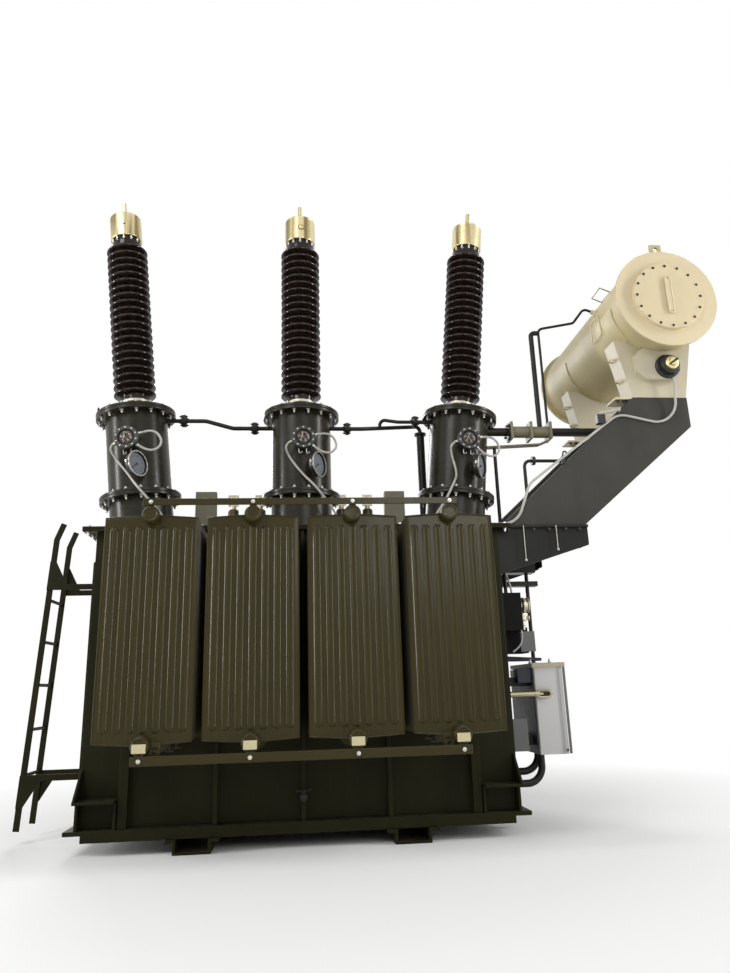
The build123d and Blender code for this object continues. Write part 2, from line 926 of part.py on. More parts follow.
with BuildPart() as conservator_front_end:
    with BuildSketch(conservator_plane(shell_front)):
        Circle(end_flange_radius)
    extrude(amount=end_plate)
    with BuildSketch(conservator_plane(shell_front + end_plate)):
        Circle(access_cover_radius)
    extrude(amount=access_cover_length)
    with BuildSketch(conservator_plane(shell_front + end_plate + access_cover_length)):
        SlotOverall(grip_length, grip_width, rotation=90)
    extrude(amount=grip_depth)
save(conservator_front_end, "conservator_front_end")

with BuildPart() as conservator_rear_end:
    with BuildSketch(conservator_plane(-shell_back - end_plate)):
        Circle(end_flange_radius)
    extrude(amount=end_plate)
save(conservator_rear_end, "conservator_rear_end")

# Saddles: cradles cut to the shell on the bracket seats, the front one with a mount for the gauge
with BuildPart() as conservator_saddles:
    seat_x = seat_middle - conservator_x
    seat_y = bracket_seat_z - conservator_z
    for start in (bracket_y - saddle_width, -bracket_y):
        with BuildSketch(conservator_plane(start)):
            with BuildLine():
                Polyline(
                    (seat_x - saddle_foot_width / 2, seat_y),
                    (seat_x + saddle_foot_width / 2, seat_y),
                    (seat_x + saddle_top_width / 2, -saddle_top_drop),
                    (seat_x - saddle_top_width / 2, -saddle_top_drop),
                    close=True,
                )
            make_face()
            Circle(conservator_radius, mode=Mode.SUBTRACT)
        extrude(amount=saddle_width)
    with BuildSketch(conservator_plane(bracket_y)):
        with Locations((gauge_box_offset, -gauge_box_drop)):
            Rectangle(gauge_box_width, gauge_box_height)
        chamfer(vertices(), gauge_box_chamfer)
        Circle(conservator_radius, mode=Mode.SUBTRACT)
    extrude(amount=gauge_box_length)
save(conservator_saddles, "conservator_saddles")

gauge_face = bracket_y + gauge_box_length
with BuildPart() as oil_gauge:
    for distance, radius, length in (
        (gauge_face, gauge_flange_radius, gauge_flange_length),
        (gauge_face + gauge_flange_length, gauge_body_radius, gauge_body_length),
        (gauge_face + gauge_flange_length + gauge_body_length, gauge_knob_radius, gauge_knob_length),
    ):
        with BuildSketch(conservator_plane(distance)):
            with Locations((gauge_offset, -gauge_drop)):
                Circle(radius)
        extrude(amount=length)
save(oil_gauge, "oil_gauge")


# Conservator bracket: two flanged side plates, tied across, on shelves that stand out from the tank
with BuildSketch() as bracket_outline:
    with BuildLine():
        Polyline(
            (bracket_foot_inner, cover_top),
            (bracket_foot_outer, cover_top),
            (bracket_seat_outer, bracket_nose_z),
            (bracket_seat_outer, bracket_seat_z),
            (bracket_seat_inner, bracket_seat_z),
            close=True,
        )
    make_face()


def bracket(side):
    """Side plate with flanges that turn inward along all its edges."""
    with BuildPart() as plate:
        with BuildSketch(Plane.XZ.offset(-side * bracket_y)):
            add(bracket_outline.sketch)
        extrude(amount=side * bracket_plate)
        with BuildSketch(Plane.XZ.offset(-side * (bracket_y - bracket_plate))):
            add(bracket_outline.sketch)
            offset(bracket_outline.sketch, amount=-bracket_plate, mode=Mode.SUBTRACT)
        extrude(amount=side * (bracket_flange_width - bracket_plate))
    return plate


save(bracket(-1), "bracket_front")
save(bracket(1), "bracket_rear")

with BuildPart() as bracket_ties:
    tie_half = bracket_y - bracket_plate
    for tie_x, tie_z in (
        (bracket_seat_inner + tie_size, bracket_seat_z - tie_size),
        (bracket_seat_outer - tie_size, bracket_seat_z - tie_size),
        ((bracket_foot_inner + bracket_foot_outer) / 2, cover_top + tie_size),
    ):
        with BuildSketch(Plane.XZ.offset(-tie_half)):
            with Locations((tie_x, tie_z)):
                Rectangle(tie_size, tie_size)
        extrude(amount=2 * tie_half)
save(bracket_ties, "bracket_ties")

# Shelves: gusseted cantilevers on the right wall that carry the bracket feet, level with the cover
with BuildPart() as bracket_shelves:
    shelf_under = cover_top - shelf_plate
    shelf_reach = end_x + shelf_length
    for side in (-1, 1):
        with BuildSketch(Plane.XZ.offset(-side * bracket_y)):
            with BuildLine():
                Polyline(
                    (end_x, rim_bottom),
                    (end_x, cover_top - shelf_root_height),
                    (shelf_reach, cover_top - shelf_tip_height),
                    (shelf_reach, shelf_under),
                    (rim_x, shelf_under),
                    (rim_x, rim_bottom),
                    close=True,
                )
            make_face()
        extrude(amount=side * shelf_plate)
        block(
            (rim_x, shelf_reach),
            (side * (bracket_y + shelf_lip), side * (bracket_y - shelf_width)),
            (shelf_under, cover_top),
        )
        for rib_offset, rib_drop in ((shelf_length - shelf_plate, shelf_tip_height), *shelf_ribs):
            block(
                (end_x + rib_offset, end_x + rib_offset + shelf_plate / 2),
                (side * (bracket_y - shelf_plate), side * (bracket_y - shelf_width)),
                (shelf_under, cover_top - rib_drop),
            )
save(bracket_shelves, "bracket_shelves")


# Ladder on the left end: flat-bar rails with a crank at the top, round rungs, and wall brackets
ladder_foot_x = -end_x - ladder_foot_offset
ladder_bend_x = -end_x - ladder_bend_offset
ladder_bend_z = cover_top + ladder_bend_rise


def ladder_x(z):
    """The X of the middle of the rail on its long straight run."""
    share = (z - ladder_foot_z) / (ladder_bend_z - ladder_foot_z)
    return ladder_foot_x + (ladder_bend_x - ladder_foot_x) * share


rail_inner = ladder_half_width - ladder_bar_thickness / 2
with BuildPart() as ladder_rails:
    for side in (-1, 1):
        with BuildSketch(Plane.XZ.offset(-side * ladder_half_width)):
            with BuildLine():
                Polyline(
                    (ladder_foot_x, ladder_foot_z),
                    (ladder_bend_x, ladder_bend_z),
                    (-end_x - ladder_tip_offset, cover_top + ladder_tip_rise),
                )
            trace(line_width=ladder_bar_width)
        extrude(amount=ladder_bar_thickness / 2, both=True)
save(ladder_rails, "ladder_rails")

with BuildPart() as ladder_rungs:
    for index in range(rung_count):
        rung_z = rung_first_z + index * rung_pitch
        rod((ladder_x(rung_z), -rail_inner, rung_z), (ladder_x(rung_z), rail_inner, rung_z), rung_radius)
save(ladder_rungs, "ladder_rungs")

with BuildPart() as ladder_brackets:
    bar_half = ladder_bar_width / 2
    for arm_z, rise in ladder_bracket_zs:
        arm_far = arm_z + rise * ladder_arm_height
        tip_z = arm_z + rise * ladder_gusset_height
        for side in (-1, 1):
            outer_y = ladder_half_width + ladder_bar_thickness / 2
            with BuildSketch(Plane.XZ.offset(-side * outer_y)):
                with BuildLine():
                    Polyline(
                        (-end_x, arm_z),
                        (-end_x, arm_far),
                        (ladder_x(arm_far) + bar_half + ladder_gusset_width, arm_far),
                        (ladder_x(tip_z) + bar_half, tip_z),
                        (ladder_x(tip_z) - bar_half, tip_z),
                        (ladder_x(arm_z) - bar_half, arm_z),
                        close=True,
                    )
                make_face()
            extrude(amount=-side * ladder_bracket_plate)
save(ladder_brackets, "ladder_brackets")

# Drive cabinet, its door, and the arms that hold it off the right end wall
cabinet_x = end_x + cabinet_standoff
cabinet_top = cabinet_z + cabinet_height
cabinet_face = cabinet_x + cabinet_depth
cabinet_back_y = cabinet_y + cabinet_width
with BuildPart() as drive_cabinet:
    block((cabinet_x, cabinet_face), (cabinet_y, cabinet_back_y), (cabinet_z, cabinet_top))
    block(
        (cabinet_x - cabinet_roof_overhang, cabinet_face + cabinet_door + cabinet_roof_overhang),
        (cabinet_y - cabinet_roof_overhang, cabinet_back_y + cabinet_roof_overhang),
        (cabinet_top, cabinet_top + cabinet_roof),
    )
save(drive_cabinet, "drive_cabinet")

with BuildPart() as cabinet_door_leaf:
    block((cabinet_face, cabinet_face + cabinet_door), (cabinet_y, cabinet_back_y), (cabinet_z, cabinet_top))
save(cabinet_door_leaf, "cabinet_door")

with BuildPart() as cabinet_arms:
    for arm_z in (cabinet_z + cabinet_arm_size, cabinet_top - 2 * cabinet_arm_size):
        for arm_y in (cabinet_y + cabinet_arm_size, cabinet_back_y - 2 * cabinet_arm_size):
            block((end_x, cabinet_x), (arm_y, arm_y + cabinet_arm_size), (arm_z, arm_z + cabinet_arm_size))
save(cabinet_arms, "cabinet_arms")

# Drive shaft from the cabinet roof to the bevel gear under the cover, steadied by a guide arm
shaft_x = cabinet_x + shaft_inset
gear_z = cover_top - gear_drop
guide_z = cover_top - guide_drop
with BuildPart() as drive_shaft:
    rod((shaft_x, shaft_y, cabinet_top + cabinet_roof), (shaft_x, shaft_y, gear_z), shaft_radius)
save(drive_shaft, "drive_shaft")

with BuildPart() as shaft_supports:
    guide_half = guide_height / 2
    block(
        (end_x, shaft_x + gear_size / 2),
        (shaft_y - gear_size / 2, shaft_y + gear_size / 2),
        (gear_z, gear_z + gear_size),
    )
    block(
        (end_x, shaft_x + 2 * guide_height),
        (shaft_y - guide_height, shaft_y + guide_height),
        (guide_z - guide_half, guide_z + guide_half),
    )
    with Locations((shaft_x, shaft_y, guide_z)):
        Cylinder(shaft_radius + seat_clearance, 2 * guide_height, mode=Mode.SUBTRACT)
save(shaft_supports, "shaft_supports")

# Instruments on the right end wall
with BuildPart() as end_wall_boxes:
    link_y = relay_box_y + relay_box_width + box_gap
    block(
        (end_x, end_x + relay_box_x),
        (relay_box_y, relay_box_y + relay_box_width),
        (relay_box_z, relay_box_z + relay_box_height),
    )
    block(
        (end_x, end_x + link_box_depth),
        (link_y, link_y + link_box_width),
        (link_box_z, link_box_z + link_box_height),
    )
save(end_wall_boxes, "end_wall_boxes")

with BuildPart() as wall_instrument:
    instrument_y = relay_box_y + relay_box_width / 2
    start = end_x + relay_box_x
    end = start + instrument_length
    rod((start, instrument_y, instrument_z), (end, instrument_y, instrument_z), instrument_radius)
save(wall_instrument, "wall_instrument")

# Conduits at the cabinet: a straight one with an oval fitting on its side, and two bends below it
with BuildPart() as side_conduit:
    conduit_y = cabinet_y - side_conduit_radius - seat_clearance
    rod((end_x, conduit_y, side_conduit_z), (cabinet_x, conduit_y, side_conduit_z), side_conduit_radius)
    with BuildSketch(Plane.XZ.offset(-cabinet_y + seat_clearance)):
        with Locations((cabinet_x + fitting_length / 2, side_conduit_z)):
            SlotOverall(fitting_length, fitting_width)
    extrude(amount=2 * side_conduit_radius)
save(side_conduit, "side_conduit")

with BuildPart() as bend_conduits:
    for index in range(bend_count):
        bend_y = cabinet_y + cabinet_arm_size + (index + 1) * bend_pitch
        bend_x = cabinet_x + bend_inset
        bend_z = cabinet_z - bend_drop + index * bend_pitch
        pipe(
            [(bend_x, bend_y, cabinet_z), (bend_x, bend_y, bend_z), (end_x, bend_y, bend_z)],
            bend_radius,
            bend_turn,
        )
save(bend_conduits, "bend_conduits")

# Low-voltage bushings at the rear of the cover, with flat terminal palms
with BuildPart() as lv_bushings:
    for lv_x in lv_xs:
        rod((lv_x, lv_y, cover_top), (lv_x, lv_y, cover_top + lv_base_height), lv_base_radius)
        foot = cover_top + lv_base_height
        rod((lv_x, lv_y, foot), (lv_x, lv_y, foot + lv_body_height), lv_body_radius)
save(lv_bushings, "lv_bushings")

with BuildPart() as lv_terminals:
    lv_top = cover_top + lv_base_height + lv_body_height
    palm_foot = lv_top + lv_stud_height
    for lv_x in lv_xs:
        rod((lv_x, lv_y, lv_top), (lv_x, lv_y, palm_foot), lv_stud_radius)
        block(
            (lv_x - palm_width / 2, lv_x + palm_width / 2),
            (lv_y - palm_thickness / 2, lv_y + palm_thickness / 2),
            (palm_foot, palm_foot + palm_height),
        )
        palm_middle = (lv_x, lv_y, palm_foot + palm_height / 2)
        with Locations(Plane(origin=palm_middle, x_dir=(1, 0, 0), z_dir=(0, -1, 0))):
            with GridLocations(palm_width / 2, palm_height / 2, 2, 2):
                Cylinder(palm_hole / 2, 2 * palm_thickness, mode=Mode.SUBTRACT)
save(lv_terminals, "lv_terminals")

with BuildPart() as cover_boxes:
    with BuildSketch(Plane.XY.offset(cover_top)):
        with Locations((0, cover_box_y)):
            with GridLocations(2 * (turret_foot_x - cover_box_inset), 0, 2, 1):
                Rectangle(cover_box_width, cover_box_depth)
    extrude(amount=cover_box_height)
save(cover_boxes, "cover_boxes")

# Drain valve at the foot of the front wall
with BuildPart() as drain_valve:
    drain_start = front_y + rib_depth
    rod((0, -drain_start, drain_z), (0, -drain_start - drain_length, drain_z), drain_radius)
    rod(
        (0, -drain_start - drain_length / 2, drain_z),
        (0, -drain_start - drain_length / 2, drain_z + 2 * drain_radius),
        drain_radius / 2,
    )
save(drain_valve, "drain_valve")

# Conservator pipes: gas pipe, vent and breather from the relay, a bracket pipe and the relay conduit
with BuildPart() as conservator_pipes:
    pipe(
        [
            (relay_end, turret_y, relay_z),
            (conservator_x, turret_y, relay_z),
            (conservator_x, turret_y, conservator_z - conservator_radius),
        ],
        relay_pipe_radius,
        3 * relay_pipe_radius,
    )
    vent_foot = relay_z + relay_body_radius + seat_clearance
    vent_x = relay_end - vent_inset
    vent_top = vent_foot + vent_height
    breather_x = relay_end - relay_flange_length / 2
    breather_foot = relay_z + relay_flange / 2 + seat_clearance
    breather_top = breather_foot + breather_height
    pipe(
        [
            (vent_x, turret_y, vent_foot),
            (vent_x, turret_y, vent_top),
            (breather_x - breather_radius - seat_clearance, turret_y, vent_top),
        ],
        vent_radius,
        vent_bend,
    )
    entry_angle = math.radians(breather_entry_degrees)
    entry_line = Vector(math.cos(entry_angle), 0, math.sin(entry_angle))
    shell_middle = Vector(conservator_x, turret_y, conservator_z)
    entry = shell_middle + entry_line * (conservator_radius + seat_clearance)
    pipe(
        [
            Vector(breather_x, turret_y, breather_foot),
            Vector(breather_x, turret_y, breather_top),
            Vector(breather_x + breather_run, turret_y, breather_top + breather_rise),
            entry + entry_line * breather_entry_length,
            entry,
        ],
        breather_radius,
        breather_bend,
    )
    bracket_pipe_x = bracket_foot_inner + bracket_pipe_inset
    bracket_pipe_z = cover_top + bracket_pipe_height
    pipe(
        [
            (bracket_pipe_x, -bracket_pipe_y, cover_top + seat_clearance),
            (bracket_pipe_x, -bracket_pipe_y, bracket_pipe_z),
            (bracket_pipe_x + bracket_pipe_run, -bracket_pipe_y, bracket_pipe_z),
            (bracket_pipe_x + bracket_pipe_run, seat_clearance - bracket_y + bracket_plate, bracket_pipe_z),
        ],
        bracket_pipe_radius,
        bracket_pipe_bend,
    )
    relay_box_top = relay_box_z + relay_box_height + seat_clearance
    relay_conduit_top = support_z - support_thickness / 2 - seat_clearance
    conduit_x = end_x + relay_conduit_x
    rod((conduit_x, turret_y, relay_box_top), (conduit_x, turret_y, relay_conduit_top), relay_conduit_radius)
save(conservator_pipes, "conservator_pipes")

# Cable conduit from the oil gauge, down over the face of the bracket and along its sloping edge
with BuildPart() as gauge_conduit:
    run_y = -bracket_y - conduit_radius - seat_clearance
    gauge_x = conservator_x + gauge_offset
    gauge_z = conservator_z - gauge_drop
    start_x = gauge_x + conduit_start
    start_y = -gauge_face - gauge_flange_length / 2
    inner_edge = conduit_start - conduit_radius
    start_z = gauge_z - math.sqrt(gauge_flange_radius**2 - inner_edge**2) - seat_clearance
    foot_x = bracket_foot_inner + conduit_foot_inset
    foot_z = cover_top + conduit_radius + seat_clearance
    pipe(
        [
            (start_x, start_y, start_z),
            (start_x, start_y, start_z - conduit_start_drop),
            (start_x, run_y, bracket_seat_z - conduit_drop),
            (bracket_seat_inner - conduit_crest_inset, run_y, bracket_seat_z - conduit_crest_drop),
            (bracket_foot_inner + conduit_knee_inset, run_y, cover_top + conduit_knee_rise),
            (foot_x, run_y, foot_z),
            (foot_x - conduit_tail, run_y, foot_z),
        ],
        conduit_radius,
        conduit_bend,
    )
save(gauge_conduit, "gauge_conduit")
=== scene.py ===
"""Dressed model of an oil-filled power transformer: finishes, fasteners, ribs, dials and small fittings.

Metres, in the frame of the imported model: +Z up, the ground at Z = 0, the bushings toward the front, -Y.
"""
from math import asin, atan2, copysign, cos, exp, hypot, pi, radians, sin, tan

import bmesh
import bpy
from mathutils import Matrix, Vector


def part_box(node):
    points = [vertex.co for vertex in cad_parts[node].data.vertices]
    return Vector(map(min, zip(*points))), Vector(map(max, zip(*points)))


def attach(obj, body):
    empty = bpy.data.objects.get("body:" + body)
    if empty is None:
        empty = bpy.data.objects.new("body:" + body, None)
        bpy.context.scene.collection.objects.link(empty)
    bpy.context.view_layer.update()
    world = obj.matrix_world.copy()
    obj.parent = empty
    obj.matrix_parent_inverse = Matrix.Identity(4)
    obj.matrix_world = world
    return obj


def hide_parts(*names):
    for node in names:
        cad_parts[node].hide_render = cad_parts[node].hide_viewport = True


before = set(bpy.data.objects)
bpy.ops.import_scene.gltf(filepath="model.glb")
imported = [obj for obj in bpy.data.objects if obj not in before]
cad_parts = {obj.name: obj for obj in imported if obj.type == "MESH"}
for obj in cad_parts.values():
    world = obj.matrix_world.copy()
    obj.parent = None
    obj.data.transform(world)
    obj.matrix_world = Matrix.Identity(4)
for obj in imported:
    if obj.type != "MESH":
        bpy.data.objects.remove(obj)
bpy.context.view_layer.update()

# Camera, fitted to the photograph
image_height = 973
focal_pixels = 731
sensor = 36
camera_place = (-0.0462, -5.3745, 0.8943)
camera_yaw = radians(5.67)
camera_pitch = radians(15.45)
camera_roll = radians(-1.72)

# Finish of edges
edge_round = 0.003
crease = radians(35)
flat_angle = radians(0.5)
weld_distance = 1e-5

# Turrets and bushings: the CAD model's sizes, but for the neck, cap and stud, which follow the photograph
turret_y = -0.27
turret_foot_x = 1.0985
turret_splay = radians(5.92)
turret_radius = 0.215
flange_radius = 0.278
flange_length = 0.042
flange_bolt_circle = 0.252
flange_bolt = 0.0125
groove_low = 0.019
groove_high = 0.023
groove_depth = 0.008
riser_length = 0.245
riser_sink = 0.03
turret_length = 0.621
ring_radius = 0.095
ring_length = 0.098
ring_foot = 0.014
ring_bolt_circle = 0.1026
ring_rib_circle = 0.0918
shed_count = 21
shed_pitch = 0.059
shed_foot = 0.034
shed_radius = 0.15
shed_root = 0.104
neck_length = 0.032
neck_radius = 0.096
clamp_circle = 0.104
cap_radius = 0.117
cap_length = 0.19
cap_dome = 0.03
stud_radius = 0.015
tip_height = 0.386
plug_radii = {"left": 0.008, "middle": 0.02}
plug_drop = 0.095

# Terminal boxes, dials, gas stubs and conduits of the turrets
box_height = 0.642
box_radius = 0.084
box_face = turret_radius + 0.028
box_length = 0.055
box_neck = 0.055
dial_height = 0.44
dial_reach = 0.29
dial_facing = radians(58)
dial_radius = 0.09
dial_length = 0.045
dial_neck = 0.024
gas_radius = 0.015
gas_rim = 0.046
gas_reach = flange_radius + 0.06
relay_radius = 0.032
relay_rim = 0.065
relay_reach = flange_radius + 0.107
stub_flange = 0.014
conduit_radius = 0.008
conduit_standoff = 0.02

upper_flange = riser_length + turret_length
turret_top = upper_flange + flange_length
ring_top = turret_top + ring_length
porcelain_top = ring_top + 2 * shed_foot + shed_count * shed_pitch
cap_foot = porcelain_top + neck_length
cap_shoulder = cap_foot + cap_length
cap_top = cap_shoulder + cap_dome
stud_top = porcelain_top + tip_height
cover_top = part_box("tank_cover")[1].z


# Materials

def feed(tree, target, inputs):
    """Set each input of a node to a value, or link it to another node's output."""
    for key, value in inputs.items():
        if isinstance(value, bpy.types.NodeSocket):
            tree.links.new(value, target.inputs[key])
        else:
            target.inputs[key].default_value = value


def add_node(tree, kind, inputs, **settings):
    """A new shader node with its settings and inputs."""
    node = tree.nodes.new(kind)
    for key, value in settings.items():
        setattr(node, key, value)
    feed(tree, node, inputs)
    return node


def new_material(name):
    """An empty node material, with its shader and a source of coordinates."""
    material = bpy.data.materials.new(name)
    material.use_nodes = True
    tree = material.node_tree
    coords = add_node(tree, "ShaderNodeTexCoord", {}).outputs["Object"]
    return material, tree, tree.nodes["Principled BSDF"], coords


def noise(tree, coords, scale, stretch=(1, 1, 1), detail=4):
    """Noise over the object's own coordinates, stretched along an axis where that is wanted."""
    mapping = add_node(tree, "ShaderNodeMapping", {"Vector": coords, "Scale": stretch})
    inputs = {"Vector": mapping.outputs["Vector"], "Scale": scale, "Detail": detail}
    return add_node(tree, "ShaderNodeTexNoise", inputs).outputs["Fac"]


def spread(tree, value, low, high, start=0.3, end=0.7):
    """A value carried from one range to another."""
    inputs = {"Value": value, "From Min": start, "From Max": end, "To Min": low, "To Max": high}
    return add_node(tree, "ShaderNodeMapRange", inputs).outputs["Result"]


def blend(tree, factor, first, second):
    """A colour between two, each a colour or a socket."""
    first, second = [(*colour, 1) if isinstance(colour, tuple) else colour for colour in (first, second)]
    node = add_node(tree, "ShaderNodeMix", {"Factor": factor, 6: first, 7: second}, data_type="RGBA")
    return node.outputs[2]


def bump_normal(tree, height, strength):
    """The normal of a surface with small relief."""
    inputs = {"Height": height, "Strength": strength, "Distance": bump_distance}
    return add_node(tree, "ShaderNodeBump", inputs).outputs["Normal"]


def calculate(tree, operation, first, second):
    """The outcome of one sum on two values."""
    return add_node(tree, "ShaderNodeMath", {0: first, 1: second}, operation=operation).outputs["Value"]


def shade(colour, factor):
    """A colour made darker or lighter."""
    return tuple(channel * factor for channel in colour)


def paint(name, colour, roughness=0.4, specular=0.3, drift=0.16, dust=0.25, peel=0.12):
    """Sprayed enamel: slow drift of tone, run-down streaks, dust on level tops and an orange-peel skin."""
    material, tree, shader, coords = new_material(name)
    patches = spread(tree, noise(tree, coords, 2.3), 0, 1)
    base = blend(tree, patches, shade(colour, 1 - drift), shade(colour, 1 + drift))
    streaks = spread(tree, noise(tree, coords, 9, (1, 1, 0.06), 6), 0, 0.5, 0.5, 0.8)
    base = blend(tree, streaks, base, shade(colour, 1 - 2 * drift))
    normal = add_node(tree, "ShaderNodeNewGeometry", {}).outputs["Normal"]
    split = add_node(tree, "ShaderNodeSeparateXYZ", {"Vector": normal})
    level = spread(tree, split.outputs["Z"], 0, 1, 0.6, 1)
    speckle = spread(tree, noise(tree, coords, 38, detail=8), 0, dust, 0.35, 0.75)
    sheen = spread(tree, noise(tree, coords, 17, detail=6), roughness - 0.03, roughness + 0.05)
    feed(tree, shader, {
        "Base Color": blend(tree, calculate(tree, "MULTIPLY", level, speckle), base, dust_colour),
        "Roughness": sheen,
        "Specular IOR Level": specular,
        "Normal": bump_normal(tree, noise(tree, coords, 260, detail=2), peel),
    })
    return material


def metal(name, colour, roughness=0.3, stretch=(1, 1, 1), grain=120, drift=0.1, metallic=1.0):
    """Bare or plated metal with a drawn or turned grain."""
    material, tree, shader, coords = new_material(name)
    lines = noise(tree, coords, grain, stretch, 5)
    dark, light = shade(colour, 1 - drift), shade(colour, 1 + drift)
    feed(tree, shader, {
        "Base Color": blend(tree, spread(tree, lines, 0, 1), dark, light),
        "Roughness": spread(tree, lines, roughness - 0.06, roughness + 0.1),
        "Metallic": metallic,
        "Normal": bump_normal(tree, lines, 0.06),
    })
    return material


def painted_reflection_metal(name, light, dark, roughness):
    """Turned metal with broad upright stripes of light and dark about its axis: painted reflections of the
    surroundings in the base colour.
    """
    material, tree, shader, coords = new_material(name)
    # Painted reflections: pale and dark upright stripes set in the base colour
    reflection_stripes = spread(tree, noise(tree, coords, 17, (1, 1, 0.02), 2), 0, 1, 0.4, 0.6)
    grain = noise(tree, coords, 90, (0.05, 0.05, 1), 4)
    turned = blend(tree, reflection_stripes, dark, light)
    feed(tree, shader, {
        "Base Color": blend(tree, spread(tree, grain, 0, 0.25), turned, shade(dark, 1.3)),
        "Roughness": spread(tree, grain, roughness - 0.05, roughness + 0.1),
        "Metallic": 0.9,
        "Normal": bump_normal(tree, grain, 0.04),
    })
    return material


def glaze(name, colour):
    """Glazed porcelain: a glassy coat over a mottled brown body."""
    material, tree, shader, coords = new_material(name)
    mottle = spread(tree, noise(tree, coords, 24, detail=6), 0, 1)
    feed(tree, shader, {
        "Base Color": blend(tree, mottle, shade(colour, 0.55), shade(colour, 1.5)),
        "Roughness": spread(tree, noise(tree, coords, 60), 0.08, 0.17),
        "Specular IOR Level": 0.28,
        "Normal": bump_normal(tree, noise(tree, coords, 45, detail=3), 0.05),
    })
    return material


dust_colour = (0.34, 0.32, 0.27)
bump_distance = 0.001
# Colour, roughness, specular level, drift of tone, dust, orange peel
paints = {
    "tank_paint": ((0.015, 0.014, 0.005), 0.44, 0.07, 0.16, 0.1),
    "radiator_paint": ((0.031, 0.0245, 0.004), 0.22, 0.2, 0.08, 0.2, 0.02),
    "turret_paint": ((0.02, 0.0175, 0.011), 0.26, 0.16, 0.1, 0.2, 0.015),
    "bracket_paint": ((0.044, 0.042, 0.036), 0.42, 0.13),
    "pipe_paint": ((0.02, 0.019, 0.015), 0.36, 0.18),
    "conservator_paint": ((0.59, 0.5, 0.325), 0.4, 0.3, 0.05, 0.1),
    "cabinet_paint": ((0.53, 0.525, 0.515), 0.45, 0.3, 0.06, 0.15),
    "grey_conduit": ((0.4, 0.39, 0.35), 0.5, 0.3, 0.1, 0.1),
    "relay_paint": ((0.2, 0.185, 0.115), 0.42, 0.3, 0.12),
    "grey_box_paint": ((0.18, 0.165, 0.115), 0.45, 0.25, 0.1),
    "black_casing": ((0.016, 0.016, 0.015), 0.36, 0.4, 0.2, 0.12),
    # The shell's coat: a darker copy of the conservator's paint, as painted shade
    "shaded_shell_paint": ((0.48, 0.41, 0.23), 0.42, 0.22, 0.08, 0.1),
    # The saddles' coat: a darker, greyer copy of the conservator's paint, as painted shade
    "shaded_saddle_paint": ((0.48, 0.435, 0.32), 0.4, 0.3, 0.05, 0.1),
    "blue_black": ((0.018, 0.02, 0.032), 0.4, 0.3, 0.2, 0.1),
    "matt_black": ((0.007, 0.007, 0.007), 0.5, 0.06, 0.2, 0.08),
    "shelf_paint": ((0.019, 0.019, 0.017), 0.42, 0.1),
    "cover_grey": ((0.13, 0.13, 0.125), 0.45, 0.25, 0.1, 0.1),
    "lip_paint": ((0.42, 0.37, 0.25), 0.45, 0.3, 0.1, 0.1),
    "dial_grey": ((0.15, 0.16, 0.175), 0.4, 0.3, 0.05, 0, 0.02),
    "brown_resin": ((0.03, 0.014, 0.01), 0.35, 0.35, 0.25, 0, 0.1),
    "gasket_rubber": ((0.012, 0.012, 0.011), 0.6, 0.2, 0.2, 0.05),
}
# Colour, roughness, stretch of the grain, its scale, drift of tone, share of bare metal
metals = {
    "ring_metal": ((0.42, 0.4, 0.33), 0.46),
    "yellow_zinc": ((0.36, 0.325, 0.21), 0.34, (0.05, 1, 1), 90, 0.3),
    "brass_fittings": ((0.42, 0.38, 0.26), 0.44, (1, 1, 0.1), 80, 0.16),
    "bright_zinc": ((0.6, 0.59, 0.56), 0.32, (1, 1, 1), 200),
    "dull_zinc": ((0.34, 0.33, 0.3), 0.42, (1, 1, 1), 160, 0.2),
    "dark_steel": ((0.06, 0.055, 0.05), 0.45, (1, 1, 1), 160, 0.2),
    "gauge_brass": ((0.6, 0.51, 0.27), 0.36, (1, 1, 1), 140, 0.2),
    "pale_brass": ((0.5, 0.46, 0.34), 0.38, (1, 1, 1), 140, 0.2),
    "plate_metal": ((0.5, 0.45, 0.27), 0.5, (1, 0.1, 1), 90, 0.08, 0.2),
}
finishes = {
    "brown_porcelain": glaze("brown_porcelain", (0.014, 0.008, 0.006)),
    "lv_glaze": glaze("lv_glaze", (0.085, 0.06, 0.025)),
    # The caps' light and dark stripes are painted reflections.
    "cap_metal": painted_reflection_metal("cap_metal", (0.76, 0.65, 0.38), (0.24, 0.19, 0.08), 0.27),
}
finishes |= {name: paint(name, *look) for name, look in paints.items()}
finishes |= {name: metal(name, *look) for name, look in metals.items()}


# Making pieces

def settle(name, mesh, slot, nodes=(), coat=None):
    """One finished mesh as an object of the part, in a coat of its own or else in that of its slot."""
    mesh.polygons.foreach_set("use_smooth", [True] * len(mesh.polygons))
    mesh.set_sharp_from_angle(angle=crease)
    piece = bpy.data.objects.new(name, mesh)
    bpy.context.scene.collection.objects.link(piece)
    mesh.materials.clear()
    mesh.materials.append(finishes[coat or slot])
    normals = piece.modifiers.new("flat_faces", "WEIGHTED_NORMAL")
    normals.keep_sharp = True
    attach(piece, "root")
    if nodes:
        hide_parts(*nodes)


def dress(node, slot, edge=edge_round, coat=None):
    """A copy of a CAD node with eased edges, standing for that node."""
    shape = bmesh.new()
    shape.from_mesh(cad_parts[node].data)
    bmesh.ops.remove_doubles(shape, verts=shape.verts, dist=weld_distance)
    bmesh.ops.dissolve_limit(shape, angle_limit=flat_angle, verts=shape.verts, edges=shape.edges)
    sharp = [line for line in shape.edges if len(line.link_faces) == 2 and line.calc_face_angle() > crease]
    if edge and sharp:
        bmesh.ops.bevel(shape, geom=sharp, offset=edge, segments=2, profile=0.5, affect="EDGES",
                        clamp_overlap=True)
    mesh = bpy.data.meshes.new(node + "_finish")
    shape.to_mesh(mesh)
    shape.free()
    settle(node + "_finish", mesh, slot, (node,), coat)


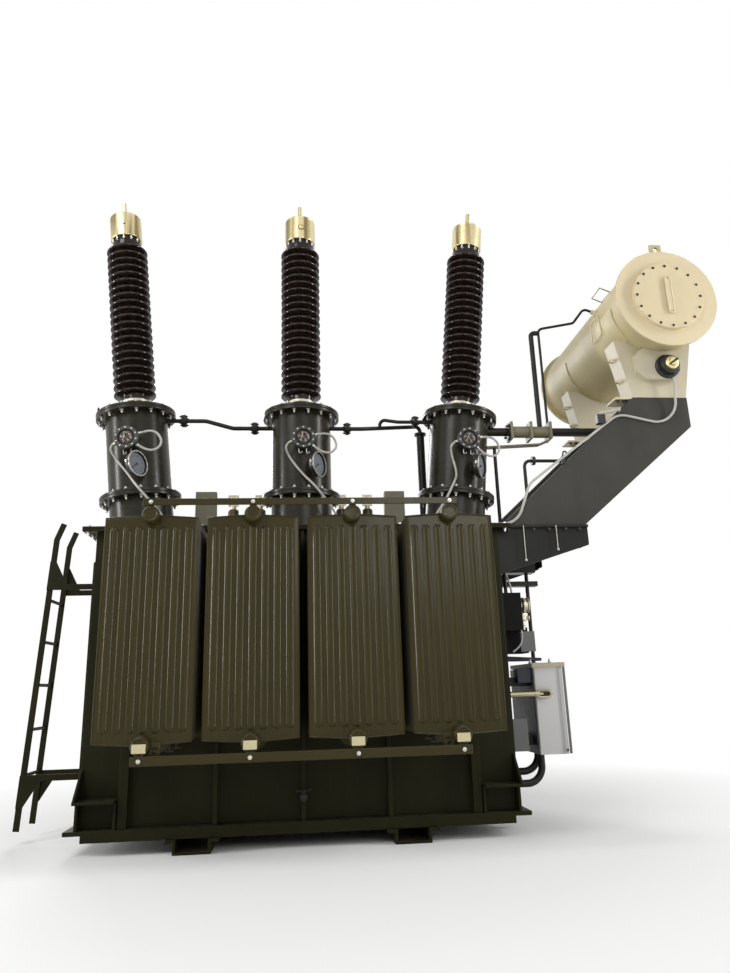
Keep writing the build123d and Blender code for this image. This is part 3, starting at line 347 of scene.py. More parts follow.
def ease(points, radius, closed=False):
    """An outline with each corner cut by a short round."""
    count = len(points)
    eased = []
    for index, point in enumerate(points):
        here = Vector(point)
        if not closed and index in (0, count - 1):
            eased.append(here)
            continue
        back = Vector(points[index - 1]) - here
        ahead = Vector(points[(index + 1) % count]) - here
        reach = min(radius, back.length * 0.45, ahead.length * 0.45)
        start = here + back.normalized() * reach
        end = here + ahead.normalized() * reach
        eased += [start, (start + end) / 4 + here / 2, end]
    return eased


octants = [(x, y, z) for x in (-1, 1) for y in (-1, 1) for z in (-1, 1)]
square = ((-1, -1), (1, -1), (1, 1), (-1, 1))


def octant(axis, sign, *others):
    """Signs of a box's corner, from its side along one axis and its signs along the two others."""
    return (*others[:axis], sign, *others[axis:])


class Piece:
    """A joined mesh in the making: shapes are added one by one, each with its own place."""

    def __init__(self, name, slot, coat=None):
        self.name = name
        self.slot = slot
        self.coat = coat
        self.points = []
        self.faces = []

    def add(self, points, faces, place=Matrix()):
        """Add points and faces, placed by a matrix."""
        first = len(self.points)
        self.points += [place @ Vector(point) for point in points]
        self.faces += [[first + index for index in face] for face in faces]

    def box(self, low, high, edge=edge_round, place=Matrix()):
        """A plate between two corners, with all its edges eased."""
        middle = (Vector(low) + Vector(high)) / 2
        half = [abs(high[axis] - low[axis]) / 2 for axis in range(3)]
        edge = min(edge, *(size * 0.45 for size in half))
        corners = {}
        points = []
        for signs in octants:
            for axis in range(3):
                corners[(*signs, axis)] = len(points)
                inset = [half[i] - (0 if i == axis else edge) for i in range(3)]
                points.append(middle + Vector([signs[i] * inset[i] for i in range(3)]))
        faces = [[corners[(*signs, axis)] for axis in range(3)] for signs in octants]
        for axis in range(3):
            one, two = [other for other in range(3) if other != axis]
            for sign in (-1, 1):
                faces.append([corners[(*octant(axis, sign, a, b), axis)] for a, b in square])
            for a, b in square:
                start, end = octant(axis, -1, a, b), octant(axis, 1, a, b)
                faces.append([corners[(*start, one)], corners[(*start, two)],
                              corners[(*end, two)], corners[(*end, one)]])
        self.add(points, faces, place)

    def lathe(self, profile, place=Matrix(), steps=64, edge=0.002, ring=False):
        """A turned shape: a profile of (radius, height) about the local Z, closed on itself for a ring."""
        outline = ease([(radius, height) for radius, height in profile], edge, ring)
        points = []
        faces = []
        for step in range(steps):
            angle = 2 * pi * step / steps
            points += [(p[0] * cos(angle), p[0] * sin(angle), p[1]) for p in outline]
        count = len(outline)
        for step in range(steps):
            here = step * count
            beside = (step + 1) % steps * count
            for index in range(count if ring else count - 1):
                after = (index + 1) % count
                faces.append([here + index, beside + index, beside + after, here + after])
        if profile[0][0] > 0 and not ring:
            faces.append([step * count for step in range(steps)])
        if profile[-1][0] > 0 and not ring:
            faces.append([step * count + count - 1 for step in range(steps)])
        self.add(points, faces, place)

    def hoop(self, inner, outer, low, high, place, steps, edge=0.0005):
        """A ring of square section."""
        section = [(inner, low), (outer, low), (outer, high), (inner, high)]
        self.lathe(section, place, steps, edge, True)

    def prism(self, outline, depth, place=Matrix(), edge=edge_round):
        """A plate cut to an outline in the local XY plane, with its rims eased."""
        shape = ease(outline, edge, closed=True)
        middle = sum((Vector(p) for p in shape), Vector((0, 0))) / len(shape)
        edge = min(edge, abs(depth) * 0.3)
        reach = max((Vector(p) - middle).length for p in shape)
        inner = [middle + (Vector(p) - middle) * (1 - edge / reach) for p in shape]
        step = copysign(edge, depth)
        count = len(shape)
        points = []
        for ring, height in ((inner, 0), (shape, step), (shape, depth - step), (inner, depth)):
            points += [(p[0], p[1], height) for p in ring]
        faces = [list(range(count)), list(range(3 * count, 4 * count))]
        for level in range(3):
            for index in range(count):
                beside = (index + 1) % count
                low, high = level * count, (level + 1) * count
                faces.append([low + index, low + beside, high + beside, high + index])
        self.add(points, faces, place)

    def bolt(self, place, size, shank=0.0):
        """A hexagon head on a washer, with the end of its shank where that shows."""
        washer, washer_top = size * 1.25, size * 0.2
        self.lathe([(0, 0), (washer, 0), (washer, washer_top), (0, washer_top)], place, 16, 0.0006)
        points = []
        for radius, height in ((size, washer_top), (size, size * 0.8), (size * 0.86, size * 0.95)):
            points += [corner + Vector((0, 0, height)) for corner in around(radius, 6)]
        faces = [list(range(12, 18))]
        for level in (0, 6):
            for corner in range(6):
                beside = (corner + 1) % 6
                faces.append([level + corner, level + beside, level + 6 + beside, level + 6 + corner])
        self.add(points, faces, place)
        if shank:
            core, root = size * 0.55, size * 0.9
            self.lathe([(0, root), (core, root), (core, shank), (0, shank)], place, 12, 0.001)

    def bolt_circle(self, place, radius, count, size, shank=0.0, start=0.0):
        """Bolts evenly spaced on a circle about a place."""
        for offset in around(radius, count, start):
            self.bolt(place @ Matrix.Translation(offset), size, shank)

    def wire(self, route, radius, closed=False, order=3, place=Matrix()):
        """A bent round bar along a smooth line through a short list of points."""
        curve = bpy.data.curves.new(self.name + "_line", "CURVE")
        curve.dimensions = "3D"
        curve.bevel_depth = radius
        curve.bevel_resolution = 3
        curve.resolution_u = 6
        curve.use_fill_caps = True
        line = curve.splines.new("NURBS")
        line.points.add(len(route) - 1)
        for point, spot in zip(line.points, route):
            point.co = (*(place @ Vector(spot)), 1)
        line.order_u = order
        line.use_endpoint_u = not closed
        line.use_cyclic_u = closed
        holder = bpy.data.objects.new(self.name + "_line", curve)
        mesh = bpy.data.meshes.new_from_object(holder)
        self.add([v.co for v in mesh.vertices], [list(p.vertices) for p in mesh.polygons])
        bpy.data.objects.remove(holder)
        bpy.data.meshes.remove(mesh)
        bpy.data.curves.remove(curve)

    def mesh(self):
        """The joined mesh, with its seams welded and its faces turned outward."""
        mesh = bpy.data.meshes.new(self.name)
        mesh.from_pydata(self.points, [], self.faces)
        shape = bmesh.new()
        shape.from_mesh(mesh)
        bmesh.ops.remove_doubles(shape, verts=shape.verts, dist=weld_distance)
        bmesh.ops.recalc_face_normals(shape, faces=shape.faces)
        shape.to_mesh(mesh)
        shape.free()
        return mesh

    def finish(self, *nodes):
        """The joined mesh as one object of the part, standing for the nodes that are named."""
        settle(self.name, self.mesh(), self.slot, nodes, self.coat)


def facing(place, direction):
    """A matrix at a place with its local Z along a direction."""
    return Matrix.Translation(place) @ Vector(direction).to_track_quat("Z", "Y").to_matrix().to_4x4()


def around(radius, count, start=0.0):
    """Points on a circle in the local XY plane."""
    for index in range(count):
        angle = start + 2 * pi * index / count
        yield Vector((radius * cos(angle), radius * sin(angle), 0))


def raised(place, height, offset=Vector()):
    """A place moved up its own Z, and across by an offset."""
    return place @ Matrix.Translation(offset + Vector((0, 0, height)))


def add_plates(name, slot, coat, *plates):
    """A piece of plain plates, each given by two corners and its rounding."""
    piece = Piece(name, slot, coat)
    for plate in plates:
        piece.box(*plate)
    piece.finish()


def spaced(low, high, pitch):
    """Even places from one end to the other, a little over a pitch apart."""
    count = int((high - low) / pitch)
    return [low + (high - low) * index / count for index in range(count + 1)]


def spin(degrees, axis="Z"):
    """A turn about a local axis."""
    return Matrix.Rotation(radians(degrees), 4, axis)


to_front = (0, -1, 0)
to_right = (1, 0, 0)
upward = (0, 0, 1)
downward = (0, 0, -1)
flip = spin(180, "X")

# Tank, base, brackets, ladder and other plate work: the CAD shapes with eased edges
plate_work = {
    "tank_paint": ("skids", "tank_base", "tank_front_wall", "tank_rear_wall", "tank_left_wall",
                   "tank_right_wall", "tank_cover", "jacking_pads", "ladder_rails", "ladder_rungs",
                   "ladder_brackets"),
    "radiator_paint": ("radiator_tie_bars",),
    "bracket_paint": ("bracket_front", "bracket_rear", "bracket_ties", "bracket_shelves"),
    "pipe_paint": ("cabinet_arms", "drive_shaft", "shaft_supports", "bend_conduits", "gas_pipes",
                   "conservator_pipes", "end_wall_boxes"),
    "conservator_paint": ("conservator_shell", "conservator_front_end", "conservator_rear_end",
                          "conservator_saddles"),
    "cabinet_paint": ("drive_cabinet", "cabinet_door"),
    "grey_conduit": ("gauge_conduit",),
    "relay_paint": ("gas_relay",),
    "brass_fittings": ("lv_terminals",),
    "grey_box_paint": ("cover_boxes",),
}
# The shell and the saddles take darker copies of the conservator's paint: painted shade.
own_coats = {"conservator_saddles": "shaded_saddle_paint", "conservator_shell": "shaded_shell_paint",
             "end_wall_boxes": "matt_black", "bracket_shelves": "shelf_paint"}
round_stock = ("ladder_rungs", "drive_shaft", "bend_conduits", "gas_pipes", "conservator_pipes",
               "gauge_conduit")
for slot, nodes in plate_work.items():
    for node in nodes:
        dress(node, slot, 0 if node in round_stock else edge_round, own_coats.get(node))


# Bolts round the rim of the cover
rim_inset = 0.032
rim_pitch = 0.115
rim_strip = 0.016
rim_bolt = 0.013
cover_low, cover_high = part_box("tank_cover")
rim_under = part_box("tank_front_wall")[1].z - rim_strip
rim_xs = spaced(cover_low.x + rim_inset, cover_high.x - rim_inset, rim_pitch)
rim_ys = spaced(cover_low.y + rim_inset, cover_high.y - rim_inset, rim_pitch)
rim_places = [(x, y) for x in rim_xs for y in (rim_ys[0], rim_ys[-1])]
rim_places += [(x, y) for y in rim_ys[1:-1] for x in (rim_xs[0], rim_xs[-1])]
rim_bolts = Piece("cover_rim_bolts", "ring_metal", "bright_zinc")
for x, y in rim_places:
    rim_bolts.bolt(facing((x, y, cover_top), upward), rim_bolt)
    rim_bolts.bolt(facing((x, y, rim_under), downward), rim_bolt, 0.022)
rim_bolts.finish()


# Radiators: a stack of pressed panels with fluted faces, on two header tubes
rad_low, rad_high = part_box("radiator_front_1")
panel_half = (rad_high.x - rad_low.x) / 2
panel_bottom = 0.65
panel_top = 1.878
panel_peak = 0.016
peak_start = 0.85
panel_count = 12
panel_pitch = 0.0436
panel_core = 0.01
sheet_half = 0.0015
seam = 0.013
seam_edge = 0.003
end_seam = 0.012
stack_back = -0.68
stack_front = stack_back - (panel_count - 1) * panel_pitch - panel_core
flute_pitch = 0.07
flute_centres = [index * flute_pitch for index in range(-3, 4)]
flute_half = 0.0235
flute_height = 0.0074
flute_edge = 0.008
flute_shoulder = 1.28
flute_fall = 0.35
dent_depth = 0.5
dent_half = 0.004
flute_low = panel_bottom + 0.05
flute_high = panel_top - 0.055
header_levels = (0.636, 1.888)
header_radius = 0.029
tie_levels = (0.561, 1.958)
tab_half = 0.02
tie_bolt = 0.0092
tie_shank = 0.016
disc_radius = 0.05
disc_front = rad_low.y
tank_face = -0.57
flange_start = 0.083
flange_circle = 0.062


def flute_relief(x, z):
    """Height of the flutes over the flat of a panel: round-ended ridges, each with a dent down its middle."""
    relief = 0.0
    along = max(flute_low + flute_half - z, z - flute_high + flute_half, 0)
    for centre in flute_centres:
        across = abs(x - centre)
        inside = flute_half - hypot(across, along)
        if inside > 0:
            share = min(inside / flute_edge, 1)
            rise = (flute_shoulder - flute_fall * share) * share / (flute_shoulder - flute_fall)
            dent = dent_depth * exp(-((across / dent_half) ** 2))
            relief = flute_height * (rise - dent)
    return relief


def panel(piece, y, outward, fine):
    """One face sheet of a panel, bulging outward along Y, with few points where the stack hides it."""
    side = (1, 0.957, 0.872, 0.787, 0.702, 0.66, 0.35, 0.17) if fine else (1, 0.8)
    offsets = [*(-share for share in side), 0, *reversed(side)]
    columns = [-panel_half, seam - panel_half]
    for centre in flute_centres:
        columns += [centre + flute_half * offset for offset in offsets]
    columns += [panel_half - seam, panel_half]
    turn = (0, 0.001, 0.003, 0.005, 0.008, 0.013, 0.019, flute_half) if fine else (0, 0.006)
    rows = [panel_bottom, panel_bottom + end_seam]
    rows += [flute_low + step for step in turn]
    rows += [flute_high - step for step in reversed(turn)]
    rows += [panel_top - end_seam, panel_top]
    middle = (panel_top + panel_bottom) / 2
    points = []
    for row, z in enumerate(rows):
        share = (z - middle) / (panel_top - middle)
        bend = max(abs(share) - peak_start, 0) / (1 - peak_start) * copysign(1, share)
        for x in columns:
            rim = abs(x) > panel_half - seam * 0.5 or row in (0, len(rows) - 1)
            depth = sheet_half if rim else panel_core / 2 + flute_relief(x, z)
            lift = panel_peak * (1 - abs(x) / panel_half)
            points.append((x, y + outward * depth, z + lift * bend))
    width = len(columns)
    faces = []
    for row in range(len(rows) - 1):
        for first in range(row * width, row * width + width - 1):
            faces.append([first, first + 1, first + width + 1, first + width])
    piece.add(points, faces)


def radiator_mesh():
    """The whole radiator about X = 0, on the front of the tank."""
    unit = Piece("radiator_unit", "radiator_paint")
    for index in range(panel_count):
        y = stack_back - index * panel_pitch - panel_core / 2
        panel(unit, y, -1, index == panel_count - 1)
        panel(unit, y, 1, index == 0)
        for x in (-panel_half, panel_half - seam_edge):
            unit.box((x, y - sheet_half, panel_bottom), (x + seam_edge, y + sheet_half, panel_top), 0.0005)
    rim = [(-panel_half, panel_bottom), (-panel_half, panel_top), (0, panel_top + panel_peak),
           (panel_half, panel_top), (panel_half, panel_bottom), (0, panel_bottom - panel_peak)]
    unit.wire([(x, stack_front + panel_core / 2, z) for x, z in rim], 0.005, True, 2)
    end = tank_face - disc_front
    disc_start = tank_face - stack_front + flute_height
    for level, bar_z in zip(header_levels, tie_levels):
        along = facing((0, tank_face, level), to_front)
        unit.lathe([(header_radius, 0), (header_radius, disc_start), (disc_radius, disc_start),
                    (disc_radius, end - 0.012), (disc_radius - 0.008, end), (disc_radius - 0.014, end),
                    (disc_radius - 0.018, end - 0.004), (0, end - 0.004)], along, 48, 0.0025)
        unit.lathe([(header_radius, 0), (0.075, 0), (0.075, 0.009), (0.066, 0.01), (0.066, 0.011),
                    (0.075, 0.012), (0.075, 0.02), (header_radius, 0.02)], raised(along, flange_start), 40)
        unit.box((-tab_half, disc_front + 0.008, min(level, bar_z) - tab_half),
                 (tab_half, disc_front + 0.018, max(level, bar_z) + tab_half))
    return unit.mesh()


radiator = radiator_mesh()
header_bolts = Piece("radiator_bolts", "ring_metal", "bright_zinc")
plates = Piece("radiator_plates", "brass_fittings", "plate_metal")
for number in range(1, 5):
    for row, side, turn in (("front", -1, 0), ("rear", 1, pi)):
        node = f"radiator_{row}_{number}"
        low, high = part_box(node)
        centre = (low.x + high.x) / 2
        mesh = radiator.copy()
        mesh.transform(Matrix.Translation((centre, 0, 0)) @ Matrix.Rotation(turn, 4, "Z"))
        settle(node + "_finish", mesh, "radiator_paint", (node,))
        for z in tie_levels:
            header_bolts.bolt(facing((centre, -side * disc_front, z), (0, side, 0)), tie_bolt, tie_shank)
        for level in header_levels:
            flange = facing((centre, side * (flange_start - tank_face), level), (0, -side, 0))
            header_bolts.bolt_circle(flange, flange_circle, 6, 0.008)
        if row == "front":
            plates.box((centre - 0.036, disc_front - 0.004, header_levels[0] - 0.035),
                       (centre + 0.036, disc_front, header_levels[0] + 0.011), 0.0015)
header_bolts.finish()
plates.finish()

# Lifting lugs and drain cocks under the outer radiators
lug_x = 0.793
lug_y = 1.175
lug_plate = 0.012
cock_share = 0.97
lugs = Piece("radiator_lugs", "radiator_paint")
cocks = Piece("radiator_cocks", "pipe_paint")
for row_side in (-1, 1):
    for side in (-1, 1):
        x = side * lug_x
        back, face = row_side * lug_y, row_side * (lug_y + lug_plate)
        lugs.hoop(0.013, 0.03, 0, lug_plate, facing((x, back, 0.6), (0, row_side, 0)), 28, 0.001)
        lugs.box((x - 0.028, min(back, face), 0.612), (x + 0.028, max(back, face), 0.652))
        for offset, z in ((0.07, 0.622), (0.105, 0.638)):
            cock_x, cock_y = x - side * offset, back * cock_share
            cocks.lathe([(0.008, 0), (0.008, 0.03), (0.005, 0.03), (0.005, 0.045), (0, 0.045)],
                        facing((cock_x, cock_y, z + 0.02), downward), 16, 0.001)
            cocks.wire([(cock_x - 0.022, cock_y, z - 0.02), (cock_x, cock_y, z - 0.023),
                        (cock_x + 0.022, cock_y, z - 0.02)], 0.0045)
lugs.finish()
cocks.finish()


# Turrets, bushings and what stands on them

def stand(foot_x, splay):
    """A matrix on the cover with its local Z up the axis of a turret."""
    return Matrix.Translation((foot_x, turret_y, cover_top)) @ Matrix.Rotation(splay, 4, "Y")


def beside(axis, height, turn, distance):
    """A matrix on the side of a turret: local Z outward, local Y up the turret."""
    return (raised(axis, height) @ Matrix.Rotation(turn, 4, "Z")
            @ Matrix.Translation((0, -distance, 0)) @ spin(90, "X"))


# Foot and splay, then in degrees the turns of the terminal box, the dial and the conduit's way down
turrets = {
    "left": (-turret_foot_x, -turret_splay, -4.5, 3.3, (-6, 4, 25, 40)),
    "middle": (0, 0, 2.5, 17.5, (2, 16, 44, 60)),
    "right": (turret_foot_x, turret_splay, 4, 16.6, (-10, -14.5, -26, -40)),
}
gas_outer = upper_flange - 0.004
gas_middle = gas_outer - 0.056
relay_height = upper_flange - 0.081
gas_stub = (gas_reach, gas_radius, gas_rim)
gas_stubs = {
    "left": ((1, gas_outer, *gas_stub),),
    "middle": ((-1, gas_middle, *gas_stub), (1, gas_middle, *gas_stub)),
    "right": ((-1, gas_outer, *gas_stub), (1, relay_height, relay_reach, relay_radius, relay_rim)),
}
terminal_studs = ((0.026, 0.012), (-0.006, 0.03), (-0.03, 0.006), (-0.018, -0.024), (0.014, -0.026),
                  (0.034, -0.008))
conduit_loop = ((0.081, 0.022), (0.15, 0.04), (0.212, 0.012), (0.238, -0.058), (0.2, -0.108),
                (0.128, -0.107), (0.065, -0.054))

turret_bolts = Piece("turret_flange_bolts", "ring_metal", "dull_zinc")
stub_bolts = Piece("gas_stub_bolts", "pipe_paint")
gaskets = Piece("turret_gaskets", "black_casing", "gasket_rubber")
rings = Piece("bushing_rings_finish", "ring_metal")
caps = Piece("bushing_caps_finish", "cap_metal")
necks = Piece("bushing_neck_clamps", "ring_metal", "bright_zinc")
boxes = Piece("turret_terminal_boxes_finish", "black_casing")
conduits = Piece("turret_conduits_finish", "grey_conduit")
resin = Piece("terminal_box_resin", "relay_paint", "brown_resin")
terminals = Piece("terminal_box_studs", "ring_metal", "dull_zinc")
dials = Piece("turret_dials_finish", "black_casing")
rims = Piece("turret_dial_rims", "ring_metal", "dull_zinc")
faces = Piece("turret_dial_faces", "cabinet_paint", "dial_grey")


def shed_profile():
    """The porcelain's outline: drip edges that slope up and out, rounded lips and long upper slopes."""
    outline = [(0, ring_top), (shed_root, ring_top)]
    shape = ((0.0, 0.0), (0.55, 0.1), (0.86, 0.16), (0.97, 0.22), (1.0, 0.31), (0.965, 0.41),
             (0.86, 0.48), (0.5, 0.68), (0.14, 0.88))
    for index in range(shed_count):
        root = ring_top + shed_foot + index * shed_pitch
        for out, up in shape:
            outline.append((shed_root + (shed_radius - shed_root) * out, root + shed_pitch * up))
    outline += [(shed_root, porcelain_top - shed_foot), (shed_root, porcelain_top), (0, porcelain_top)]
    return outline


def slotted_flange(level):
    """Outline of a flange with the slot of its gasket."""
    inner = flange_radius - groove_depth
    low, high = level + groove_low, level + groove_high
    return [(flange_radius, level), (flange_radius, low), (inner, low), (inner, high), (flange_radius, high),
            (flange_radius, level + flange_length)]


def add_turret(key, axis, box_turn, dial_turn):
    """A barrel with two bolted flanges, the necks of its box and dial, and the stubs of its gas pipes."""
    body = Piece(f"turret_{key}_finish", "turret_paint")
    body.lathe([(turret_radius, -riser_sink), (turret_radius, riser_length), *slotted_flange(riser_length),
                (turret_radius, riser_length + flange_length), (turret_radius, upper_flange),
                *slotted_flange(upper_flange), (0, turret_top)], axis, 96, 0.0025)
    body.lathe([(box_neck, 0), (box_neck, box_face)], beside(axis, box_height, box_turn, 0), 32)
    body.lathe([(dial_neck, 0), (dial_neck, dial_reach - 0.03)], beside(axis, dial_height, dial_turn, 0), 24)
    for side, height, reach, radius, rim in gas_stubs[key]:
        start = axis.translation.x + tan(asin(axis[0][2])) * height
        stub = facing((start, turret_y, cover_top + height), (side, 0, 0))
        inner, outer = reach - stub_flange, reach + stub_flange
        body.lathe([(radius, 0), (radius, inner), (rim, inner), (rim, reach), (0, reach)], stub, 32)
        for flange in (raised(stub, inner) @ flip, raised(stub, outer)):
            stub_bolts.bolt_circle(flange, rim * 0.75, 4, 0.009, 0.016, pi / 4)
        stub_bolts.hoop(radius, rim, reach, outer, stub, 32, 0.001)
    body.finish(f"turret_{key}")
    for level in (riser_length, upper_flange):
        gaskets.hoop(flange_radius - 0.02, flange_radius - 0.003, level + groove_low, level + groove_high,
                     axis, 64)
        over, under = raised(axis, level + flange_length), raised(axis, level) @ flip
        for flange, shank in ((over, 0.02), (under, 0.028)):
            turret_bolts.bolt_circle(flange, flange_bolt_circle, 16, flange_bolt, shank, pi / 16)


def add_bushing(key, axis):
    """Base ring, porcelain, cap and stud, with the clamps and gaskets between them."""
    foot, waist, head = ring_radius + 0.012, ring_radius - 0.004, ring_radius + 0.006
    rings.lathe([(foot, turret_top), (foot, turret_top + ring_foot), (waist, turret_top + 0.02),
                 (waist, ring_top - 0.03), (head, ring_top - 0.018), (head, ring_top), (0, ring_top)], axis)
    rings.bolt_circle(raised(axis, turret_top + ring_foot), ring_bolt_circle, 8, 0.008)
    for offset in around(ring_rib_circle, 8):
        rings.box((-0.005, -0.008, 0.02), (0.005, 0.008, 0.06), 0.002, raised(axis, turret_top, offset)
                  @ Matrix.Rotation(atan2(offset.y, offset.x), 4, "Z"))
    porcelain = Piece(f"bushing_{key}_finish", "brown_porcelain")
    porcelain.lathe(shed_profile(), axis, 72, 0.0012)
    porcelain.finish(f"bushing_{key}")

    dome = [(cap_radius * cos(angle), cap_shoulder + cap_dome * sin(angle))
            for angle in (pi / 2 * step / 10 for step in range(9))]
    line = cap_radius - 0.0015
    caps.lathe([(neck_radius, porcelain_top), (neck_radius, cap_foot), (cap_radius - 0.004, cap_foot),
                (cap_radius, cap_foot + 0.006), (cap_radius, cap_shoulder - 0.012),
                (line, cap_shoulder - 0.01), (line, cap_shoulder - 0.006), *dome,
                (0.04, cap_top + 0.004), (0.034, cap_top + 0.02),
                (0.026, cap_top + 0.024), (0.022, cap_top + 0.045), (stud_radius, cap_top + 0.048),
                (stud_radius, stud_top - 0.004), (stud_radius - 0.004, stud_top), (0, stud_top)], axis, 80)
    gaskets.hoop(neck_radius + 0.001, neck_radius + 0.004, porcelain_top, cap_foot - 0.002, axis, 64)
    for offset in around(clamp_circle, 12):
        clamp = raised(axis, porcelain_top, offset)
        necks.lathe([(0.007, 0), (0.007, neck_length)], clamp, 10)
        necks.bolt(raised(clamp, 0.008), 0.01)
    if key in plug_radii:
        plug = beside(axis, cap_shoulder - plug_drop, radians(4), cap_radius - 0.004)
        size = plug_radii[key]
        caps.lathe([(size, 0), (size, 0.01), (size * 0.8, 0.012), (size * 0.75, 0.008), (size * 0.45, 0.008),
                    (size * 0.45, 0.014), (0, 0.014)], plug, 24)
        seal = size * 1.2
        gaskets.lathe([(size, 0), (seal, 0), (seal, 0.006), (size, 0.007)], plug, 24, 0.0005, True)


def add_terminal_box(box):
    """An open round box: a block of resin, studs joined by jumpers, cover screws, and two hooks below."""
    floor = box_length - 0.012
    boxes.lathe([(0.06, 0), (box_radius - 0.006, 0), (box_radius - 0.006, 0.03), (box_radius, 0.032),
                 (box_radius, box_length - 0.006), (box_radius - 0.005, box_length), (0.056, box_length),
                 (0.052, floor), (0, floor)], box, 56)
    resin.lathe([(0.05, floor), (0.047, box_length - 0.007), (0, box_length - 0.006)], box, 40)
    terminals.bolt_circle(raised(box, box_length), 0.07, 10, 0.0055, start=pi / 10)
    for x, y in terminal_studs:
        terminals.bolt(box @ Matrix.Translation((x, y, box_length - 0.007)), 0.006, 0.02)
    for ends in ((0, 1), (1, 3), (2, 4), (5, 0)):
        first, last = [Vector((*terminal_studs[index], box_length + 0.003)) for index in ends]
        crown = (first + last) / 2 + Vector((0.006, 0.008, 0.014))
        terminals.wire([first, crown, last], 0.002, place=box)
    for x in (-0.03, 0.022):
        terminals.wire([(x, -0.078, 0.02), (x, -0.098, 0.02), (x + 0.004, -0.112, 0.022),
                        (x + 0.016, -0.112, 0.022), (x + 0.02, -0.1, 0.022)], 0.004, place=box)


def add_conduits(axis, box, box_turn, turns):
    """A loop on the terminal box, a run down the turret to the cover, and glands on the box."""
    middle = raised(box, box_length / 2)
    conduits.wire([(x, y, 0) for x, y in conduit_loop], conduit_radius, place=middle)
    near, over, low, foot = [radians(turn) for turn in turns]
    body, flange = turret_radius + conduit_standoff, flange_radius + conduit_standoff
    ground = beside(axis, 0, foot, flange).translation
    way_down = ((box_height - 0.115, box_turn - radians(26), body), (riser_length + 0.142, near, body),
                (riser_length + 0.057, over, flange), (0.16, low, flange))
    conduits.wire([middle @ Vector((-0.079, -0.029, 0)), middle @ Vector((-0.126, -0.046, 0)),
                   *(beside(axis, *point).translation for point in way_down),
                   (ground.x, ground.y, cover_top + 0.07), (ground.x, ground.y, cover_top)], conduit_radius)
    for turn in (radians(degrees) for degrees in (200, 15, -40)):
        outward = Vector((cos(turn), sin(turn), 0))
        terminals.lathe([(0.014, 0), (0.014, 0.012), (0.011, 0.016), (0.011, 0.026), (0.0085, 0.026)],
                        middle @ facing(outward * (box_radius - 0.004), outward), 6, 0.001)


def add_dial(axis, turn):
    """A round dial on its neck, turned to its reader: case, rim, blank face, pointer and marks."""
    dial = (beside(axis, dial_height, turn, dial_reach) @ spin(-90, "X")
            @ Matrix.Rotation(dial_facing - turn, 4, "Z") @ spin(90, "X"))
    shell, lip, well = dial_radius - 0.002, dial_length - 0.002, dial_length - 0.018
    dials.lathe([(0.03, 0), (dial_radius - 0.014, 0), (dial_radius - 0.009, 0.006),
                 (dial_radius - 0.007, 0.026), (shell, 0.028), (shell, lip), (dial_radius - 0.009, lip),
                 (dial_radius - 0.011, well), (0, well)], dial, 56)
    rims.lathe([(dial_radius - 0.003, dial_length - 0.009), (dial_radius, dial_length - 0.008),
                (dial_radius, dial_length), (dial_radius - 0.008, dial_length),
                (dial_radius - 0.008, dial_length - 0.003)], dial, 56, 0.001, True)
    rims.box((-dial_radius - 0.012, -0.012, 0.022), (-dial_radius + 0.008, 0.012, 0.034), 0.002, dial)
    faces.lathe([(dial_radius - 0.011, well + 0.0002), (0, well + 0.0005)], dial, 48)
    dials.lathe([(0.008, well), (0.008, well + 0.006), (0, well + 0.006)], dial, 16)
    pointer = dial @ spin(130)
    dials.box((-0.003, -0.004, well + 0.0015), (0.003, 0.052, well + 0.0035), 0.0005, pointer)
    for degrees in range(-45, 226, 30):
        mark = dial @ spin(degrees)
        dials.box((0.052, -0.0016, well + 0.0004), (0.066, 0.0016, well + 0.0014), 0.0003, mark)


for key, (foot_x, splay, box_degrees, dial_degrees, run_degrees) in turrets.items():
    axis = stand(foot_x, splay)
    box_turn, dial_turn = radians(box_degrees), radians(dial_degrees)
    box = beside(axis, box_height, box_turn, box_face)
    add_turret(key, axis, box_turn, dial_turn)
    add_bushing(key, axis)
    add_terminal_box(box)
    add_conduits(axis, box, box_turn, run_degrees)
    add_dial(axis, dial_turn)

eye_radius = 0.024
eye = raised(stand(-turret_foot_x, -turret_splay) @ spin(-72), turret_top)
gaskets.wire([(point.x, -0.258, eye_radius + point.y) for point in around(eye_radius, 8)], 0.006, True,
             place=eye)
for piece in (turret_bolts, stub_bolts, gaskets, necks, resin, terminals, rims, faces):
    piece.finish()
rings.finish("bushing_rings")
caps.finish("bushing_caps")
boxes.finish("turret_terminal_boxes")
dials.finish("turret_dials")
conduits.finish("turret_conduits")


# Low-voltage bushings: short ribbed porcelain on a clamped foot
lv_xs = (-0.53, -0.32, 0.32, 0.53)
lv_low, lv_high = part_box("lv_bushings")
lv_height = lv_high.z - lv_low.z
lv_outline = [(0, 0.03), (0.05, 0.03)]
for z in (0.06, 0.11, 0.16, 0.21):
    lv_outline += [(0.046, z), (0.055, z + 0.012), (0.055, z + 0.02), (0.046, z + 0.034)]
lv_outline += [(0.042, lv_height - 0.01), (0.036, lv_height), (0, lv_height)]
lv = Piece("lv_bushings_finish", "brown_porcelain", "lv_glaze")
lv_rings = Piece("lv_clamp_rings", "ring_metal")
for x in lv_xs:
    place = Matrix.Translation((x, (lv_low.y + lv_high.y) / 2, lv_low.z))
    lv.lathe(lv_outline, place, 48)
    lv_rings.lathe([(0.08, 0), (0.08, 0.018), (0.072, 0.026), (0.052, 0.03), (0, 0.03)], place, 48)
    lv_rings.bolt_circle(raised(place, 0.019), 0.068, 6, 0.008)
lv.finish("lv_bushings")
lv_rings.finish()


# Conservator: bolts and grip of the access cover, handles, pads, feet and gauge
drum_x = 2.69
drum_z = 3.611
drum_radius = 0.353
cover_face = -0.808
cover_circle = 0.242
pad_thickness = 0.008
entry_turn = radians(157)
saddle_edge = 2.435
saddle_foot = 2.907
foot_plate = 0.014
saddle_lean = 0.096 / 0.455


